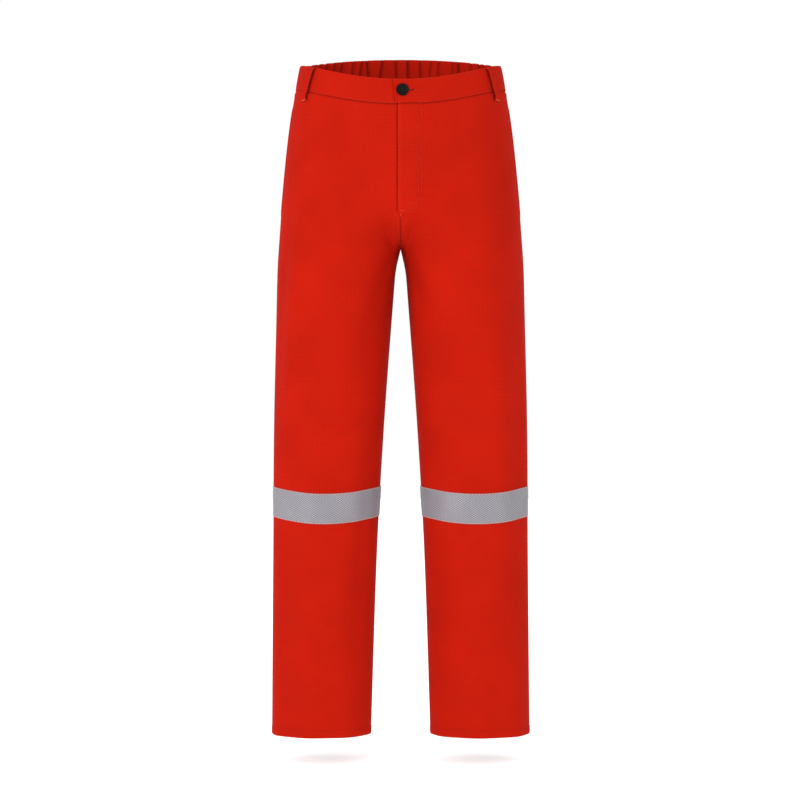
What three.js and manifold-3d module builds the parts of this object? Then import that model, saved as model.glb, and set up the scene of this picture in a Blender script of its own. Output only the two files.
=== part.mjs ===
// Flame-resistant work trousers of a fire crew: one layer of cloth, a buttoned waistband with an
// elasticated back, a zip fly, belt loops, side pockets, two back pockets and a reflective tape
// round each leg below the knee.
// Millimetres. +Z is up, +X is the wearer's left and the front faces -Y. The origin is the centre
// of the waist, level with the top of the waistband at the side seams.
import * as THREE from 'three';
import { mergeVertices } from 'three/addons/utils/BufferGeometryUtils.js';
import Module from 'manifold-3d';

// ---- Driving dimensions ----------------------------------------------------------------------
const wall = 1.6; // one panel of cloth
const seamGap = 0.3; // between pieces sewn edge to edge
const layerGap = 0.8; // between curved layers that lie on each other

// The body of the trousers at named heights. A level is a depth below the waist at the side seam,
// outer is half the width there, and front and back are depths from the side seam's plane.
const torso = [
  { level: 0, outer: 168, front: 105, back: 105 }, // waist
  { level: 100, outer: 184.5, front: 110, back: 122 }, // high hip
  { level: 205, outer: 195.5, front: 116, back: 136 }, // seat
  { level: 305, outer: 203, front: 115, back: 130 }, // crotch
];
// Each leg below it, with inner the distance of the inseam from the middle of the body.
const leg = [
  { level: 305, outer: 203, inner: 0, front: 108, back: 117 }, // crotch
  { level: 340, outer: 205, inner: 8, front: 107, back: 115 }, // fork
  { level: 400, outer: 206.5, inner: 13.5, front: 103, back: 109 }, // thigh
  { level: 605, outer: 211, inner: 28.5, front: 76, back: 80 }, // knee
  { level: 810, outer: 212.5, inner: 40, front: 67, back: 73 }, // calf
  { level: 1113, outer: 215, inner: 50, front: 59, back: 64 }, // hem
];
const rise = { front: 100, back: 155 }; // height of the curve of the crotch seam
const gentleHeight = 190; // over which the outer side of the seat turns into a thigh
const waistDip = { front: 36, back: -30, power: 1.5 }; // the waist sits lower in front
const knee = { level: 605, radius: 122, clearance: 0.8 }; // edge of the part that bends away
const hem = { height: 14 };
const band = { height: 40, outside: 0.6, thickness: 2.6, overlap: 11, underlap: 35 };
const casing = { wall: 1.2, channel: 2.4 };
const elastic = { thickness: 1.8, margin: 6 }; // the margin is what the casing is taller by
const loop = { width: 12, beyond: 16, thickness: 1.6, standOff: 6.2, drop: 1.5, ramp: 0.16 };
const loopPlaces = [
  { name: 'front', top: -0.365, bottom: -0.315 },
  { name: 'back', top: 0.5, bottom: 0.5 },
];
const fly = {
  overlap: 6, bottom: 250, ramp: 14, facingWidth: 33, facingWall: 1, shieldWidth: 30, stitching: 7,
};
const zip = {
  x: 5, inset: 7, tapeWidth: 13, tapeWall: 0.8, toothWidth: 2.6, toothDepth: 2.2, pitch: 6,
  belowBand: 11.7, bottom: 236, stop: 4, gapShare: 0.4, gapDepth: 0.55,
};
const slider = { width: 9, height: 11, plate: 1, depth: 4.8, post: 1.2, clearance: 0.3 };
const pull = {
  width: 5, length: 13, thickness: 0.8, lift: 0.3, holeWidth: 2.4, holeHeight: 2.5, margin: 1.5,
};
const button = {
  radius: 10, thickness: 3, rim: 0.7, rimWidth: 1.8, bevel: 0.8, edge: 0.6, foot: 1,
  hole: 1, holeSpread: 2, x: 3, gap: 0.9, aboveMiddle: 2,
};
const shank = { radius: 1.4 };
const buttonhole = { slack: 6, width: 4.2, end: -2.5 }; // slack is its length beyond the button's
const mouth = { top: 82, bottom: 238, width: 6, ramp: 14 };
const bag = {
  wall: 0.8, room: 6.4, reach: 0.52, edge: 0.012, bottom: 262, seam: 1.5, aboveMouth: 8, lip: 1,
};
const patch = {
  wall: 1.4, room: 9, from: 0.34, to: 0.8, edge: 0.03, top: 104, bottom: 246, flange: 8,
};
const tape = { level: 700, width: 50, dip: 10, thickness: 0.6 };

// ---- Surface of the body ---------------------------------------------------------------------
const { clamp, lerp, smoothstep } = THREE.MathUtils;

// A smooth curve through one size of the named places.
function smoothProfile(places, size) {
  const levels = places.map((place) => place.level);
  const values = places.map((place) => place[size]);
  const slopes = values.map((value, i) => {
    const before = Math.max(i - 1, 0);
    const after = Math.min(i + 1, values.length - 1);
    return (values[after] - values[before]) / (levels[after] - levels[before]);
  });
  return (level) => {
    let i = 0;
    while (i < levels.length - 2 && level > levels[i + 1]) i += 1;
    const span = levels[i + 1] - levels[i];
    const t = clamp((level - levels[i]) / span, 0, 1);
    const rising = t * t * (3 - 2 * t);
    const leaving = span * t * (1 - t) * (1 - t);
    const arriving = span * t * t * (t - 1);
    return values[i] * (1 - rising) + values[i + 1] * rising
      + slopes[i] * leaving + slopes[i + 1] * arriving;
  };
}

const outerAt = smoothProfile([...torso, ...leg.slice(1)], 'outer');
const innerAt = smoothProfile(leg, 'inner');
const torsoFront = smoothProfile(torso, 'front');
const torsoBack = smoothProfile(torso, 'back');
const legFront = smoothProfile(leg, 'front');
const legBack = smoothProfile(leg, 'back');
const crotchLevel = leg[0].level;
const hemLevel = leg[leg.length - 1].level;

// A point on one side's surface, or inset mm inside it. u runs from -1 at the centre front, or the
// inseam, through 0 at the side seam to 1 at the centre back, or the inseam again. blend is 0 where
// the two halves make one torso and 1 where each is a leg.
function shellPoint(u, level, blend, inset) {
  const outer = outerAt(level) - inset;
  const inner = innerAt(level) + inset;
  const torsoDepth = (u < 0 ? torsoFront(level) : torsoBack(level)) - inset;
  const legDepth = (u < 0 ? legFront(level) : legBack(level)) - inset;
  const torsoTurn = u * Math.PI / 2;
  const legTurn = u * Math.PI;
  const legX = (outer + inner) / 2 + (outer - inner) / 2 * Math.cos(legTurn);
  const x = lerp(outer * Math.cos(torsoTurn), legX, blend);
  const y = lerp(torsoDepth * Math.sin(torsoTurn), legDepth * Math.sin(legTurn), blend);
  return new THREE.Vector3(x, y, -level);
}

// Level of the top of the waistband.
function waistLevel(u) {
  const turn = Math.abs(Math.sin(u * Math.PI / 2)) ** waistDip.power;
  return (u < 0 ? waistDip.front : waistDip.back) * turn;
}

function riseHeight(u) {
  return u < 0 ? rise.front : rise.back;
}

// How far the surface at a level above the crotch has turned into a leg: round the curve of the
// crotch seam near the middle of the body, and gently over the thigh's outer side.
function blendAt(u, level, inset) {
  const height = riseHeight(u);
  const sine = clamp((level - crotchLevel + height) / (height - inset), 0, 1);
  const curved = 1 - Math.sqrt(1 - sine * sine);
  const gentle = smoothstep(level, crotchLevel - gentleHeight, crotchLevel - inset);
  return lerp(gentle, curved, smoothstep(Math.abs(u), 0.4, 0.95));
}

function bodyPoint(u, level, inset) {
  return shellPoint(u, level, blendAt(u, level, inset), inset);
}

// Level where a leg meets a cylinder of this radius round the knee's axis.
function kneeLevel(u, inset, radius) {
  let level = knee.level - radius;
  for (let step = 0; step < 12; step += 1) {
    const y = shellPoint(u, level, 1, inset).y;
    level = knee.level - Math.sqrt(radius * radius - y * y);
  }
  return level;
}

// Solves for the u between two limits at which measure(u) reaches a target. measure rises with u.
function solve(measure, target, low, high) {
  for (let step = 0; step < 40; step += 1) {
    const middle = (low + high) / 2;
    if (measure(middle) < target) low = middle;
    else high = middle;
  }
  return (low + high) / 2;
}

function uAtX(x, level, inset) {
  return solve((u) => bodyPoint(u, level, inset).x, x, -1.25, -0.4);
}

function uAtY(y, level, inset) {
  return solve((u) => bodyPoint(u, level, inset).y, y, -0.4, 0);
}

// 1 between two levels, falling to 0 over a ramp outside them.
function windowBetween(level, from, to, ramp) {
  const inside = Math.min(level - from, to - level) / ramp + 1;
  return smoothstep(inside, 0, 1);
}

// ---- Solids ----------------------------------------------------------------------------------
function geometryOf(points, triangles) {
  let volume = 0;
  for (const [a, b, c] of triangles) {
    volume += points[a].dot(new THREE.Vector3().crossVectors(points[b], points[c]));
  }
  const geometry = new THREE.BufferGeometry();
  const positions = points.flatMap((point) => point.toArray());
  const indices = triangles.flatMap(([a, b, c]) => (volume > 0 ? [a, b, c] : [a, c, b]));
  geometry.setAttribute('position', new THREE.Float32BufferAttribute(positions, 3));
  geometry.setIndex(indices);
  return geometry;
}

// A sheet between an outer and an inner surface, each a function of a column and a row.
function sheet(columns, rows, outerPoint, innerPoint) {
  const points = [];
  const triangles = [];
  const index = (side, i, j) => side * (columns + 1) * (rows + 1) + i * (rows + 1) + j;
  const quad = (a, b, c, d) => triangles.push([a, b, c], [a, c, d]);
  for (const surface of [outerPoint, innerPoint]) {
    for (let i = 0; i <= columns; i += 1) {
      for (let j = 0; j <= rows; j += 1) points.push(surface(i, j));
    }
  }
  for (let i = 0; i < columns; i += 1) {
    for (let j = 0; j < rows; j += 1) {
      quad(index(0, i, j), index(0, i + 1, j), index(0, i + 1, j + 1), index(0, i, j + 1));
      quad(index(1, i, j), index(1, i, j + 1), index(1, i + 1, j + 1), index(1, i + 1, j));
    }
    quad(index(0, i + 1, 0), index(0, i, 0), index(1, i, 0), index(1, i + 1, 0));
    quad(index(0, i, rows), index(0, i + 1, rows), index(1, i + 1, rows), index(1, i, rows));
  }
  for (let j = 0; j < rows; j += 1) {
    quad(index(0, 0, j), index(0, 0, j + 1), index(1, 0, j + 1), index(1, 0, j));
    quad(index(0, columns, j + 1), index(0, columns, j), index(1, columns, j), index(1, columns, j + 1));
  }
  return geometryOf(points, triangles);
}

// A section of [inset, drop] points carried along a run of steps, closed on itself or capped.
function sweep(section, steps, place, closed = false) {
  const count = section.length;
  const rings = closed ? steps : steps + 1;
  const points = [];
  const triangles = [];
  for (let i = 0; i < rings; i += 1) {
    for (const [inset, drop] of section) points.push(place(i / steps, inset, drop));
  }
  for (let i = 0; i < steps; i += 1) {
    const next = (i + 1) % rings;
    for (let j = 0; j < count; j += 1) {
      const [a, b] = [i * count + j, i * count + (j + 1) % count];
      const [c, d] = [next * count + (j + 1) % count, next * count + j];
      triangles.push([a, b, c], [a, c, d]);
    }
  }
  if (!closed) {
    const outline = section.map(([inset, drop]) => new THREE.Vector2(inset, drop));
    const far = steps * count;
    for (const [a, b, c] of THREE.ShapeUtils.triangulateShape(outline, [])) {
      triangles.push([a, c, b], [far + a, far + b, far + c]);
    }
  }
  return geometryOf(points, triangles);
}

const wasm = await Module();
wasm.setup();

function solidOf(geometry) {
  const positionOnly = geometry.clone();
  positionOnly.deleteAttribute('normal');
  positionOnly.deleteAttribute('uv');
  const merged = mergeVertices(positionOnly, 1e-4);
  return new wasm.Manifold(new wasm.Mesh({
    numProp: 3,
    vertProperties: Float32Array.from(merged.attributes.position.array),
    triVerts: Uint32Array.from(merged.index.array),
  }));
}

function geometryFrom(solid) {
  const mesh = solid.getMesh();
  const geometry = new THREE.BufferGeometry();
  geometry.setAttribute('position', new THREE.BufferAttribute(mesh.vertProperties, mesh.numProp));
  geometry.setIndex(new THREE.BufferAttribute(mesh.triVerts, 1));
  return geometry;
}

function boxGeometry(low, high) {
  const size = high.clone().sub(low);
  const middle = high.clone().add(low).multiplyScalar(0.5);
  return new THREE.BoxGeometry(size.x, size.y, size.z).translate(middle.x, middle.y, middle.z);
}

// ---- Materials and placing -------------------------------------------------------------------
function material(color, roughness, metalness = 0) {
  return new THREE.MeshStandardMaterial({ color, roughness, metalness });
}

const shellCloth = material(0xcd2110, 0.9);
const liningCloth = material(0x9c1a10, 0.95);
const elasticWeb = material(0xd8d2c8, 0.9);
const reflectiveTape = material(0x9e9a9f, 0.45);
const zipWeb = material(0xa01c12, 0.9);
const zipMetal = material(0xb08f4a, 0.35, 1);
const buttonPlastic = material(0x261d1e, 0.45);
const buttonThread = material(0x2a2021, 0.9);

const group = new THREE.Group();

function add(name, geometry, finish) {
  geometry.computeVertexNormals();
  const mesh = new THREE.Mesh(geometry, finish.clone());
  mesh.name = name;
  group.add(mesh);
}

// Mirrors a geometry made for the wearer's left to the given side.
function onSide(side, geometry) {
  if (side > 0) return geometry;
  const mirrored = geometry.clone().scale(-1, 1, 1);
  const index = mirrored.index.array;
  for (let i = 0; i < index.length; i += 3) {
    [index[i + 1], index[i + 2]] = [index[i + 2], index[i + 1]];
  }
  return mirrored;
}

const sides = [{ name: 'left', sign: 1 }, { name: 'right', sign: -1 }];

// ---- Panels ----------------------------------------------------------------------------------
const panelColumns = 12;
const panelRows = { waist: 6, rise: 8, thigh: 4 };
const bandFoot = band.height + seamGap;

// Level of a row of an upper panel: down to the rise, round its curve, then down the thigh.
function upperRow(u, row, inset) {
  const riseTop = crotchLevel - riseHeight(u);
  if (row <= panelRows.waist) {
    return lerp(waistLevel(u) + bandFoot, riseTop, row / panelRows.waist);
  }
  if (row <= panelRows.waist + panelRows.rise) {
    const turn = (row - panelRows.waist) / panelRows.rise * Math.PI / 2;
    return riseTop + (riseHeight(u) - inset) * Math.sin(turn);
  }
  const down = (row - panelRows.waist - panelRows.rise) / panelRows.thigh;
  return lerp(crotchLevel - inset, kneeLevel(u, inset, knee.radius + knee.clearance), down);
}

// Where a panel starts at the centre seam and ends at the side seam. The fly's edge lies past the
// middle, and the pocket's mouth is cut out of the front panel's side edge.
function frontEdges(sign, level, inset) {
  const pastMiddle = fly.overlap * windowBetween(level, 0, fly.bottom, fly.ramp);
  const mouthCut = mouth.width * windowBetween(level, mouth.top, mouth.bottom, mouth.ramp);
  const centre = pastMiddle > 0 ? uAtX(-sign * pastMiddle, level, inset) : -1;
  const side = mouthCut > 0 ? uAtY(-mouthCut, level, inset) : 0;
  return [centre, side];
}

function upperPanel(sign, facing) {
  const rows = panelRows.waist + panelRows.rise + panelRows.thigh;
  const surface = (inset) => (i, j) => {
    const middleLevel = upperRow(facing, j, inset);
    const isThigh = j > panelRows.waist + panelRows.rise;
    let [from, to] = facing < 0 && !isThigh ? frontEdges(sign, middleLevel, inset) : [-1, 0];
    if (facing > 0) [from, to] = [0, 1];
    const u = lerp(from, to, i / panelColumns);
    const level = upperRow(u, j, inset);
    const blend = isThigh ? 1 : blendAt(u, level, inset);
    const point = shellPoint(u, level, blend, inset);
    const atCentre = facing < 0 ? i === 0 : i === panelColumns;
    const atSide = facing < 0 ? i === panelColumns : i === 0;
    if (atCentre) point.x += seamGap / 2;
    if (atCentre || atSide) point.y += facing * seamGap / 2;
    return point;
  };
  return onSide(sign, sheet(panelColumns, rows, surface(0), surface(wall)));
}

const shinRows = [0, 0.12, 0.25, 0.4, 0.6, 0.8]; // shares of the way to the hem's fold

// Levels of a shin panel, with the turned-up hem twice as thick as the rest.
function shinLevel(u, row, inset) {
  const top = kneeLevel(u, inset, knee.radius);
  const fold = hemLevel - hem.height;
  if (row < shinRows.length) return lerp(top, fold, shinRows[row]);
  if (row === shinRows.length) return fold;
  return row === shinRows.length + 1 ? fold + wall / 2 : hemLevel;
}

function shinPanel(sign, facing) {
  const rows = shinRows.length + 2;
  const surface = (depth) => (i, j) => {
    const inset = j > shinRows.length ? depth * 2 : depth;
    const u = facing < 0 ? lerp(-1, 0, i / panelColumns) : lerp(0, 1, i / panelColumns);
    const point = shellPoint(u, shinLevel(u, j, depth), 1, inset);
    if (i === 0 || i === panelColumns) point.y += facing * seamGap / 2;
    return point;
  };
  return onSide(sign, sheet(panelColumns, rows, surface(0), surface(wall)));
}

for (const side of sides) {
  add(`${side.name}_front_panel`, upperPanel(side.sign, -1), shellCloth);
  add(`${side.name}_back_panel`, upperPanel(side.sign, 1), shellCloth);
  add(`${side.name}_front_shin_panel`, shinPanel(side.sign, -1), shellCloth);
  add(`${side.name}_back_shin_panel`, shinPanel(side.sign, 1), shellCloth);
}

// ---- Reflective tapes ------------------------------------------------------------------------
function tapeRing() {
  const section = [
    [-seamGap - tape.thickness, 0], [-seamGap, 0],
    [-seamGap, tape.width], [-seamGap - tape.thickness, tape.width],
  ];
  const place = (along, inset, drop) => {
    const u = 2 * along - 1;
    const dip = u < 0 ? tape.dip * Math.sin(u * Math.PI) ** 2 : 0;
    return shellPoint(u, tape.level + dip + drop, 1, inset);
  };
  return sweep(section, 2 * panelColumns, place, true);
}

for (const side of sides) {
  add(`${side.name}_reflective_tape`, onSide(side.sign, tapeRing()), reflectiveTape);
}

// ---- Waistband -------------------------------------------------------------------------------
const bandInner = band.thickness - band.outside;
const bandSteps = 12;

// A place on the waistband, which is straight between its top and its bottom edge.
function bandPoint(u, drop, inset) {
  const top = bodyPoint(u, waistLevel(u), inset);
  const foot = bodyPoint(u, waistLevel(u) + band.height, inset);
  return top.lerp(foot, drop / band.height);
}

// A place on the front half of the waistband, along from an x near the middle to the side seam.
function bandPlace(startX, endX) {
  return (along, inset, drop) => {
    const from = uAtX(startX, waistDip.front, inset);
    const to = endX === undefined ? 0 : uAtX(endX, waistDip.front, inset);
    const u = lerp(from, to, along);
    const point = bandPoint(u, drop, inset);
    if (along === 1 && endX === undefined) point.y -= seamGap / 2;
    return point;
  };
}

function bandSection(from, to) {
  return [[from, 0], [to, 0], [to, band.height], [from, band.height]];
}

const buttonLevel = waistDip.front + band.height / 2 - button.aboveMiddle;
const bandFaceY = -torsoFront(buttonLevel) - band.outside;

// A slot across the waistband, as long as the buttonhole and cut right through.
function buttonholeCutter() {
  const half = buttonhole.width / 2;
  const length = 2 * button.radius + button.thickness + buttonhole.slack;
  const through = 4 * band.thickness;
  const low = new THREE.Vector3(buttonhole.end, bandFaceY - through, -buttonLevel - half);
  const high = new THREE.Vector3(buttonhole.end + length, bandFaceY + through, -buttonLevel + half);
  return solidOf(boxGeometry(low, high));
}

function leftBand() {
  const strap = sweep(bandSection(-band.outside, bandInner), bandSteps, bandPlace(-band.overlap));
  return geometryFrom(solidOf(strap).subtract(buttonholeCutter()));
}

// The right half ends under the left one: its underlap is a step deeper.
function rightBand() {
  const strap = sweep(
    bandSection(-band.outside, bandInner), bandSteps, bandPlace(band.overlap + seamGap),
  );
  const tabFace = bandInner + layerGap;
  const tabWall = band.thickness - layerGap;
  const reach = band.overlap + band.underlap;
  const tab = sweep(bandSection(tabFace, tabFace + tabWall), 6, bandPlace(-band.underlap, reach));
  const sunk = layerGap / 2;
  const stepFrom = band.overlap + 3 * seamGap;
  const step = sweep(bandSection(bandInner - sunk, tabFace + sunk), 3, bandPlace(stepFrom, reach));
  const joined = solidOf(strap).add(solidOf(tab)).add(solidOf(step));
  return onSide(-1, geometryFrom(joined));
}

add('waistband_left_front', leftBand(), shellCloth);
add('waistband_right_front', rightBand(), shellCloth);

// The back of the waistband runs from side seam to side seam round the centre back.
function backPlace(endGap) {
  return (along, inset, drop) => {
    const across = 1 - 2 * along;
    const point = bandPoint(1 - Math.abs(across), drop, inset);
    point.x *= across < 0 ? -1 : 1;
    if (along === 0 || along === 1) point.y += endGap;
    return point;
  };
}

function backCasing() {
  const face = -band.outside;
  const channel = face + casing.wall;
  const lining = channel + casing.channel;
  const section = [
    [face, 0], [lining + casing.wall, 0], [lining + casing.wall, band.height], [lining, band.height],
    [lining, casing.wall], [channel, casing.wall], [channel, band.height], [face, band.height],
  ];
  return sweep(section, 2 * panelColumns, backPlace(seamGap / 2));
}

function elasticWebbing() {
  const from = casing.wall - band.outside + (casing.channel - elastic.thickness) / 2;
  const top = casing.wall + seamGap;
  const foot = top + band.height - elastic.margin;
  const section = [
    [from, top], [from + elastic.thickness, top], [from + elastic.thickness, foot], [from, foot],
  ];
  return sweep(section, 2 * panelColumns, backPlace(seamGap));
}

add('waistband_back_casing', backCasing(), shellCloth);
add('waist_elastic', elasticWebbing(), elasticWeb);

// ---- Belt loops ------------------------------------------------------------------------------
// A strap that stands off the waistband between its two sewn ends.
function beltLoop(place) {
  const rows = 12;
  const surface = (depth) => (i, j) => {
    const down = j / rows;
    const ramp = Math.min(down, 1 - down) / loop.ramp;
    const arch = Math.sin(clamp(ramp, 0, 1) * Math.PI / 2);
    const seat = band.outside + seamGap;
    const inset = -seat - (loop.standOff - seamGap) * arch - depth;
    const u = lerp(place.top, place.bottom, down);
    const level = waistLevel(u) + loop.drop + (band.height + loop.beyond) * down;
    const step = 0.01; // of u, to find the way across the loop
    const near = bodyPoint(u - step, level, inset);
    const far = bodyPoint(u + step, level, inset);
    const along = far.sub(near).setZ(0).normalize();
    return bodyPoint(u, level, inset).addScaledVector(along, (i - 0.5) * loop.width);
  };
  return sheet(1, rows, surface(loop.thickness), surface(0));
}

for (const place of loopPlaces) {
  for (const side of sides) {
    add(`${side.name}_${place.name}_belt_loop`, onSide(side.sign, beltLoop(place)), shellCloth);
  }
}
add('centre_back_belt_loop', beltLoop({ top: 1, bottom: 1 }), shellCloth);

// ---- Fly -------------------------------------------------------------------------------------
const flyTop = waistDip.front + bandFoot;
const zipTop = flyTop + zip.belowBand;
const zipBack = zip.inset + zip.tapeWall / 2;

// The straight line that the zip lies on, at a depth behind the cloth.
function zipY(level, inset) {
  const share = (level - zipTop) / (zip.bottom - zipTop);
  const top = bodyPoint(-1, zipTop, inset).y;
  const bottom = bodyPoint(-1, zip.bottom, inset).y;
  return lerp(top, bottom, share);
}

// A sheet behind the fly from one x to another, whose depth varies with x.
function flySheet(fromX, toX, insetAt, thickness) {
  const [columns, rows] = [12, 8];
  const surface = (depth) => (i, j) => {
    const x = lerp(fromX, toX, i / columns);
    const level = lerp(flyTop + layerGap, zip.bottom + zip.stop, j / rows);
    const inset = insetAt(x) + depth;
    const onCloth = bodyPoint(uAtX(x, level, inset), level, inset).y;
    const straight = smoothstep(inset, facingSeat + fly.facingWall, tapeFace - 2 * fly.facingWall);
    return new THREE.Vector3(x, lerp(onCloth, zipY(level, inset), straight), -level);
  };
  return sheet(columns, rows, surface(0), surface(thickness));
}

const facingSeat = wall + layerGap + seamGap;
const besideSlider = slider.width / 2 + 3 * seamGap;
const facingZone = zip.x + besideSlider;
const tapeFace = zip.inset - zip.tapeWall / 2;

// The facing lies on the left panel at its stitching and steps back to the zip tape.
function facingInset(x) {
  const back = tapeFace - fly.facingWall - seamGap;
  const step = smoothstep(x, facingZone + fly.stitching, facingZone + 2 * fly.stitching);
  return lerp(back, facingSeat, step);
}

// The shield lies on the right panel, steps back behind the right tape and clears the slider.
function shieldInset(x) {
  const slack = zip.inset + slider.depth / 2 + 2 * seamGap;
  const onPanel = smoothstep(-x, fly.shieldWidth - 1.5 * fly.stitching, fly.shieldWidth - fly.stitching / 2);
  const behindSlider = smoothstep(x, -fly.stitching, zip.x - besideSlider);
  const behindTape = zipBack + seamGap;
  return lerp(lerp(behindTape, slack, behindSlider), facingSeat, onPanel);
}

add('fly_facing', flySheet(facingZone, fly.facingWidth, facingInset, fly.facingWall), shellCloth);
const shieldEnd = zip.x + zip.tapeWidth + fly.facingWall;
add('fly_shield', flySheet(-fly.shieldWidth, shieldEnd, shieldInset, fly.facingWall), shellCloth);

// ---- Zip -------------------------------------------------------------------------------------
// A box along the zip's line, given by its x limits, its levels and its depths about the zip.
function zipBlock(fromX, toX, top, bottom, front, back) {
  const corner = (i, j, depth) => {
    const level = j === 0 ? top : bottom;
    return new THREE.Vector3(i === 0 ? fromX : toX, zipY(level, zip.inset) + depth, -level);
  };
  return sheet(1, 1, (i, j) => corner(i, j, front), (i, j) => corner(i, j, back));
}

const toothGap = slider.post / 2 + slider.clearance;
const tapeHalf = zip.tapeWall / 2;
const toothHalf = zip.toothDepth / 2;

// A row of teeth moulded on one cord, as a strip with notches between the teeth.
function toothStrip(sign) {
  const near = zip.x + sign * toothGap;
  const far = near + sign * zip.toothWidth;
  const [low, high] = [Math.min(near, far), Math.max(near, far)];
  let strip = solidOf(zipBlock(low, high, zipTop, zip.bottom, -toothHalf, toothHalf));
  const count = Math.floor((zip.bottom - zipTop) / zip.pitch);
  const through = 2 * toothHalf;
  const notch = [near - sign * seamGap, near + sign * zip.toothWidth * zip.gapDepth];
  for (let i = 0; i < count; i += 1) {
    const top = zipTop + (i + 1 - zip.gapShare) * zip.pitch;
    const foot = top + zip.pitch * zip.gapShare;
    const cutter = zipBlock(Math.min(...notch), Math.max(...notch), top, foot, -through, through);
    strip = strip.subtract(solidOf(cutter));
  }
  return geometryFrom(strip);
}

for (const side of sides) {
  const teethEdge = zip.x + side.sign * (toothGap + zip.toothWidth + seamGap);
  const tapeEdge = teethEdge + side.sign * (zip.tapeWidth - zip.toothWidth);
  const edges = [Math.min(teethEdge, tapeEdge), Math.max(teethEdge, tapeEdge)];
  const web = zipBlock(...edges, flyTop + layerGap, zip.bottom + zip.stop, -tapeHalf, tapeHalf);
  add(`${side.name}_zip_tape`, web, zipWeb);
  add(`${side.name}_zip_teeth`, toothStrip(side.sign), zipMetal);
  const stopFrom = zip.x + side.sign * toothGap;
  const stopTo = stopFrom + side.sign * zip.toothWidth;
  const stopEdges = [Math.min(stopFrom, stopTo), Math.max(stopFrom, stopTo)];
  const stopTop = zipTop - zip.stop;
  const stop = zipBlock(...stopEdges, stopTop, zipTop - seamGap, -toothHalf, toothHalf);
  add(`${side.name}_zip_top_stop`, stop, zipMetal);
}
const bottomHalf = toothGap + zip.toothWidth;
add('zip_bottom_stop', zipBlock(
  zip.x - bottomHalf, zip.x + bottomHalf, zip.bottom + seamGap, zip.bottom + zip.stop,
  -toothHalf, toothHalf,
), zipMetal);

// The slider is two plates joined by a post that runs between the rows of teeth.
const sliderTop = zipTop + 3 * seamGap;
const sliderFoot = sliderTop + slider.height;

function zipSlider() {
  const [left, right] = [zip.x - slider.width / 2, zip.x + slider.width / 2];
  const half = slider.depth / 2;
  const front = zipBlock(left, right, sliderTop, sliderFoot, -half, -half + slider.plate);
  const back = zipBlock(left, right, sliderTop, sliderFoot, half - slider.plate, half);
  const postHalf = slider.post / 2;
  const inside = half - slider.plate / 2;
  const post = zipBlock(
    zip.x - postHalf, zip.x + postHalf, sliderTop, sliderTop + slider.height / 3, -inside, inside,
  );
  return geometryFrom(solidOf(front).add(solidOf(back)).add(solidOf(post)));
}

add('zip_slider', zipSlider(), zipMetal);

// The pull hangs in front of the slider from a hole near its top.
function zipPull() {
  const back = -slider.depth / 2 - pull.lift;
  const front = back - pull.thickness;
  const top = sliderTop + slider.height / 3;
  const left = zip.x - pull.width / 2;
  const tab = zipBlock(left, left + pull.width, top, top + pull.length, front, back);
  const foot = top + pull.length - pull.margin;
  const holeHalf = pull.holeWidth / 2;
  const through = 2 * slider.depth;
  const hole = zipBlock(
    zip.x - holeHalf, zip.x + holeHalf, foot - pull.holeHeight, foot, -through, through,
  );
  return geometryFrom(solidOf(tab).subtract(solidOf(hole)));
}

add('zip_pull', zipPull(), zipMetal);

// ---- Button ----------------------------------------------------------------------------------
const buttonBackY = bandFaceY - button.gap;

function waistButton() {
  const { radius, thickness, rim, rimWidth, bevel, edge, foot } = button;
  const outline = [
    [0, 0], [radius - foot, 0], [radius, foot], [radius, thickness - edge],
    [radius - edge, thickness], [radius - rimWidth, thickness],
    [radius - rimWidth - bevel, thickness - rim], [0, thickness - rim],
  ].map(([r, h]) => new THREE.Vector2(r, h));
  const disc = new THREE.LatheGeometry(outline, 28);
  let solid = solidOf(disc);
  for (const [dx, dz] of [[1, 1], [1, -1], [-1, 1], [-1, -1]]) {
    const drill = new THREE.CylinderGeometry(button.hole, button.hole, thickness * 3, 8);
    drill.translate(dx * button.holeSpread, 0, dz * button.holeSpread);
    solid = solid.subtract(solidOf(drill));
  }
  return geometryFrom(solid).rotateX(Math.PI).translate(button.x, buttonBackY, -buttonLevel);
}

function threadShank() {
  const tabY = -torsoFront(buttonLevel) + bandInner + layerGap - seamGap;
  const length = tabY - buttonBackY - seamGap;
  const post = new THREE.CylinderGeometry(shank.radius, shank.radius, length, 16);
  return post.translate(button.x, tabY - length / 2, -buttonLevel);
}

add('waist_button', waistButton(), buttonPlastic);
add('button_thread_shank', threadShank(), buttonThread);

// ---- Pockets ---------------------------------------------------------------------------------
// A region of the body's thickness between two u, two levels and two insets.
function bodyBlock(fromU, toU, top, bottom, outside, inside, columns = 6, rows = 6) {
  const surface = (inset) => (i, j) => {
    const level = lerp(top, bottom, j / rows);
    return bodyPoint(lerp(fromU, toU, i / columns), level, inset);
  };
  return sheet(columns, rows, surface(outside), surface(inside));
}

const beyondSide = 0.05; // of u, past the side seam, so that a cut leaves no skin

// The side pocket's bag hangs inside the front panel and opens at the side seam.
function sidePocket() {
  const outside = wall + layerGap + seamGap;
  const inside = outside + 2 * bag.wall + bag.room;
  const top = mouth.top - bag.aboveMouth;
  const body = bodyBlock(-bag.reach, -bag.edge, top, bag.bottom, outside, inside);
  const room = bodyBlock(
    -bag.reach + bag.edge, beyondSide, mouth.top, bag.bottom - bag.seam,
    outside + bag.wall, inside - bag.wall, 7,
  );
  const lipFrom = uAtY(-mouth.width - bag.lip, (mouth.top + mouth.bottom) / 2, 0);
  const lip = bodyBlock(lipFrom, beyondSide, mouth.top, mouth.bottom, 0, inside - bag.wall, 2);
  return geometryFrom(solidOf(body).subtract(solidOf(room)).subtract(solidOf(lip)));
}

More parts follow.
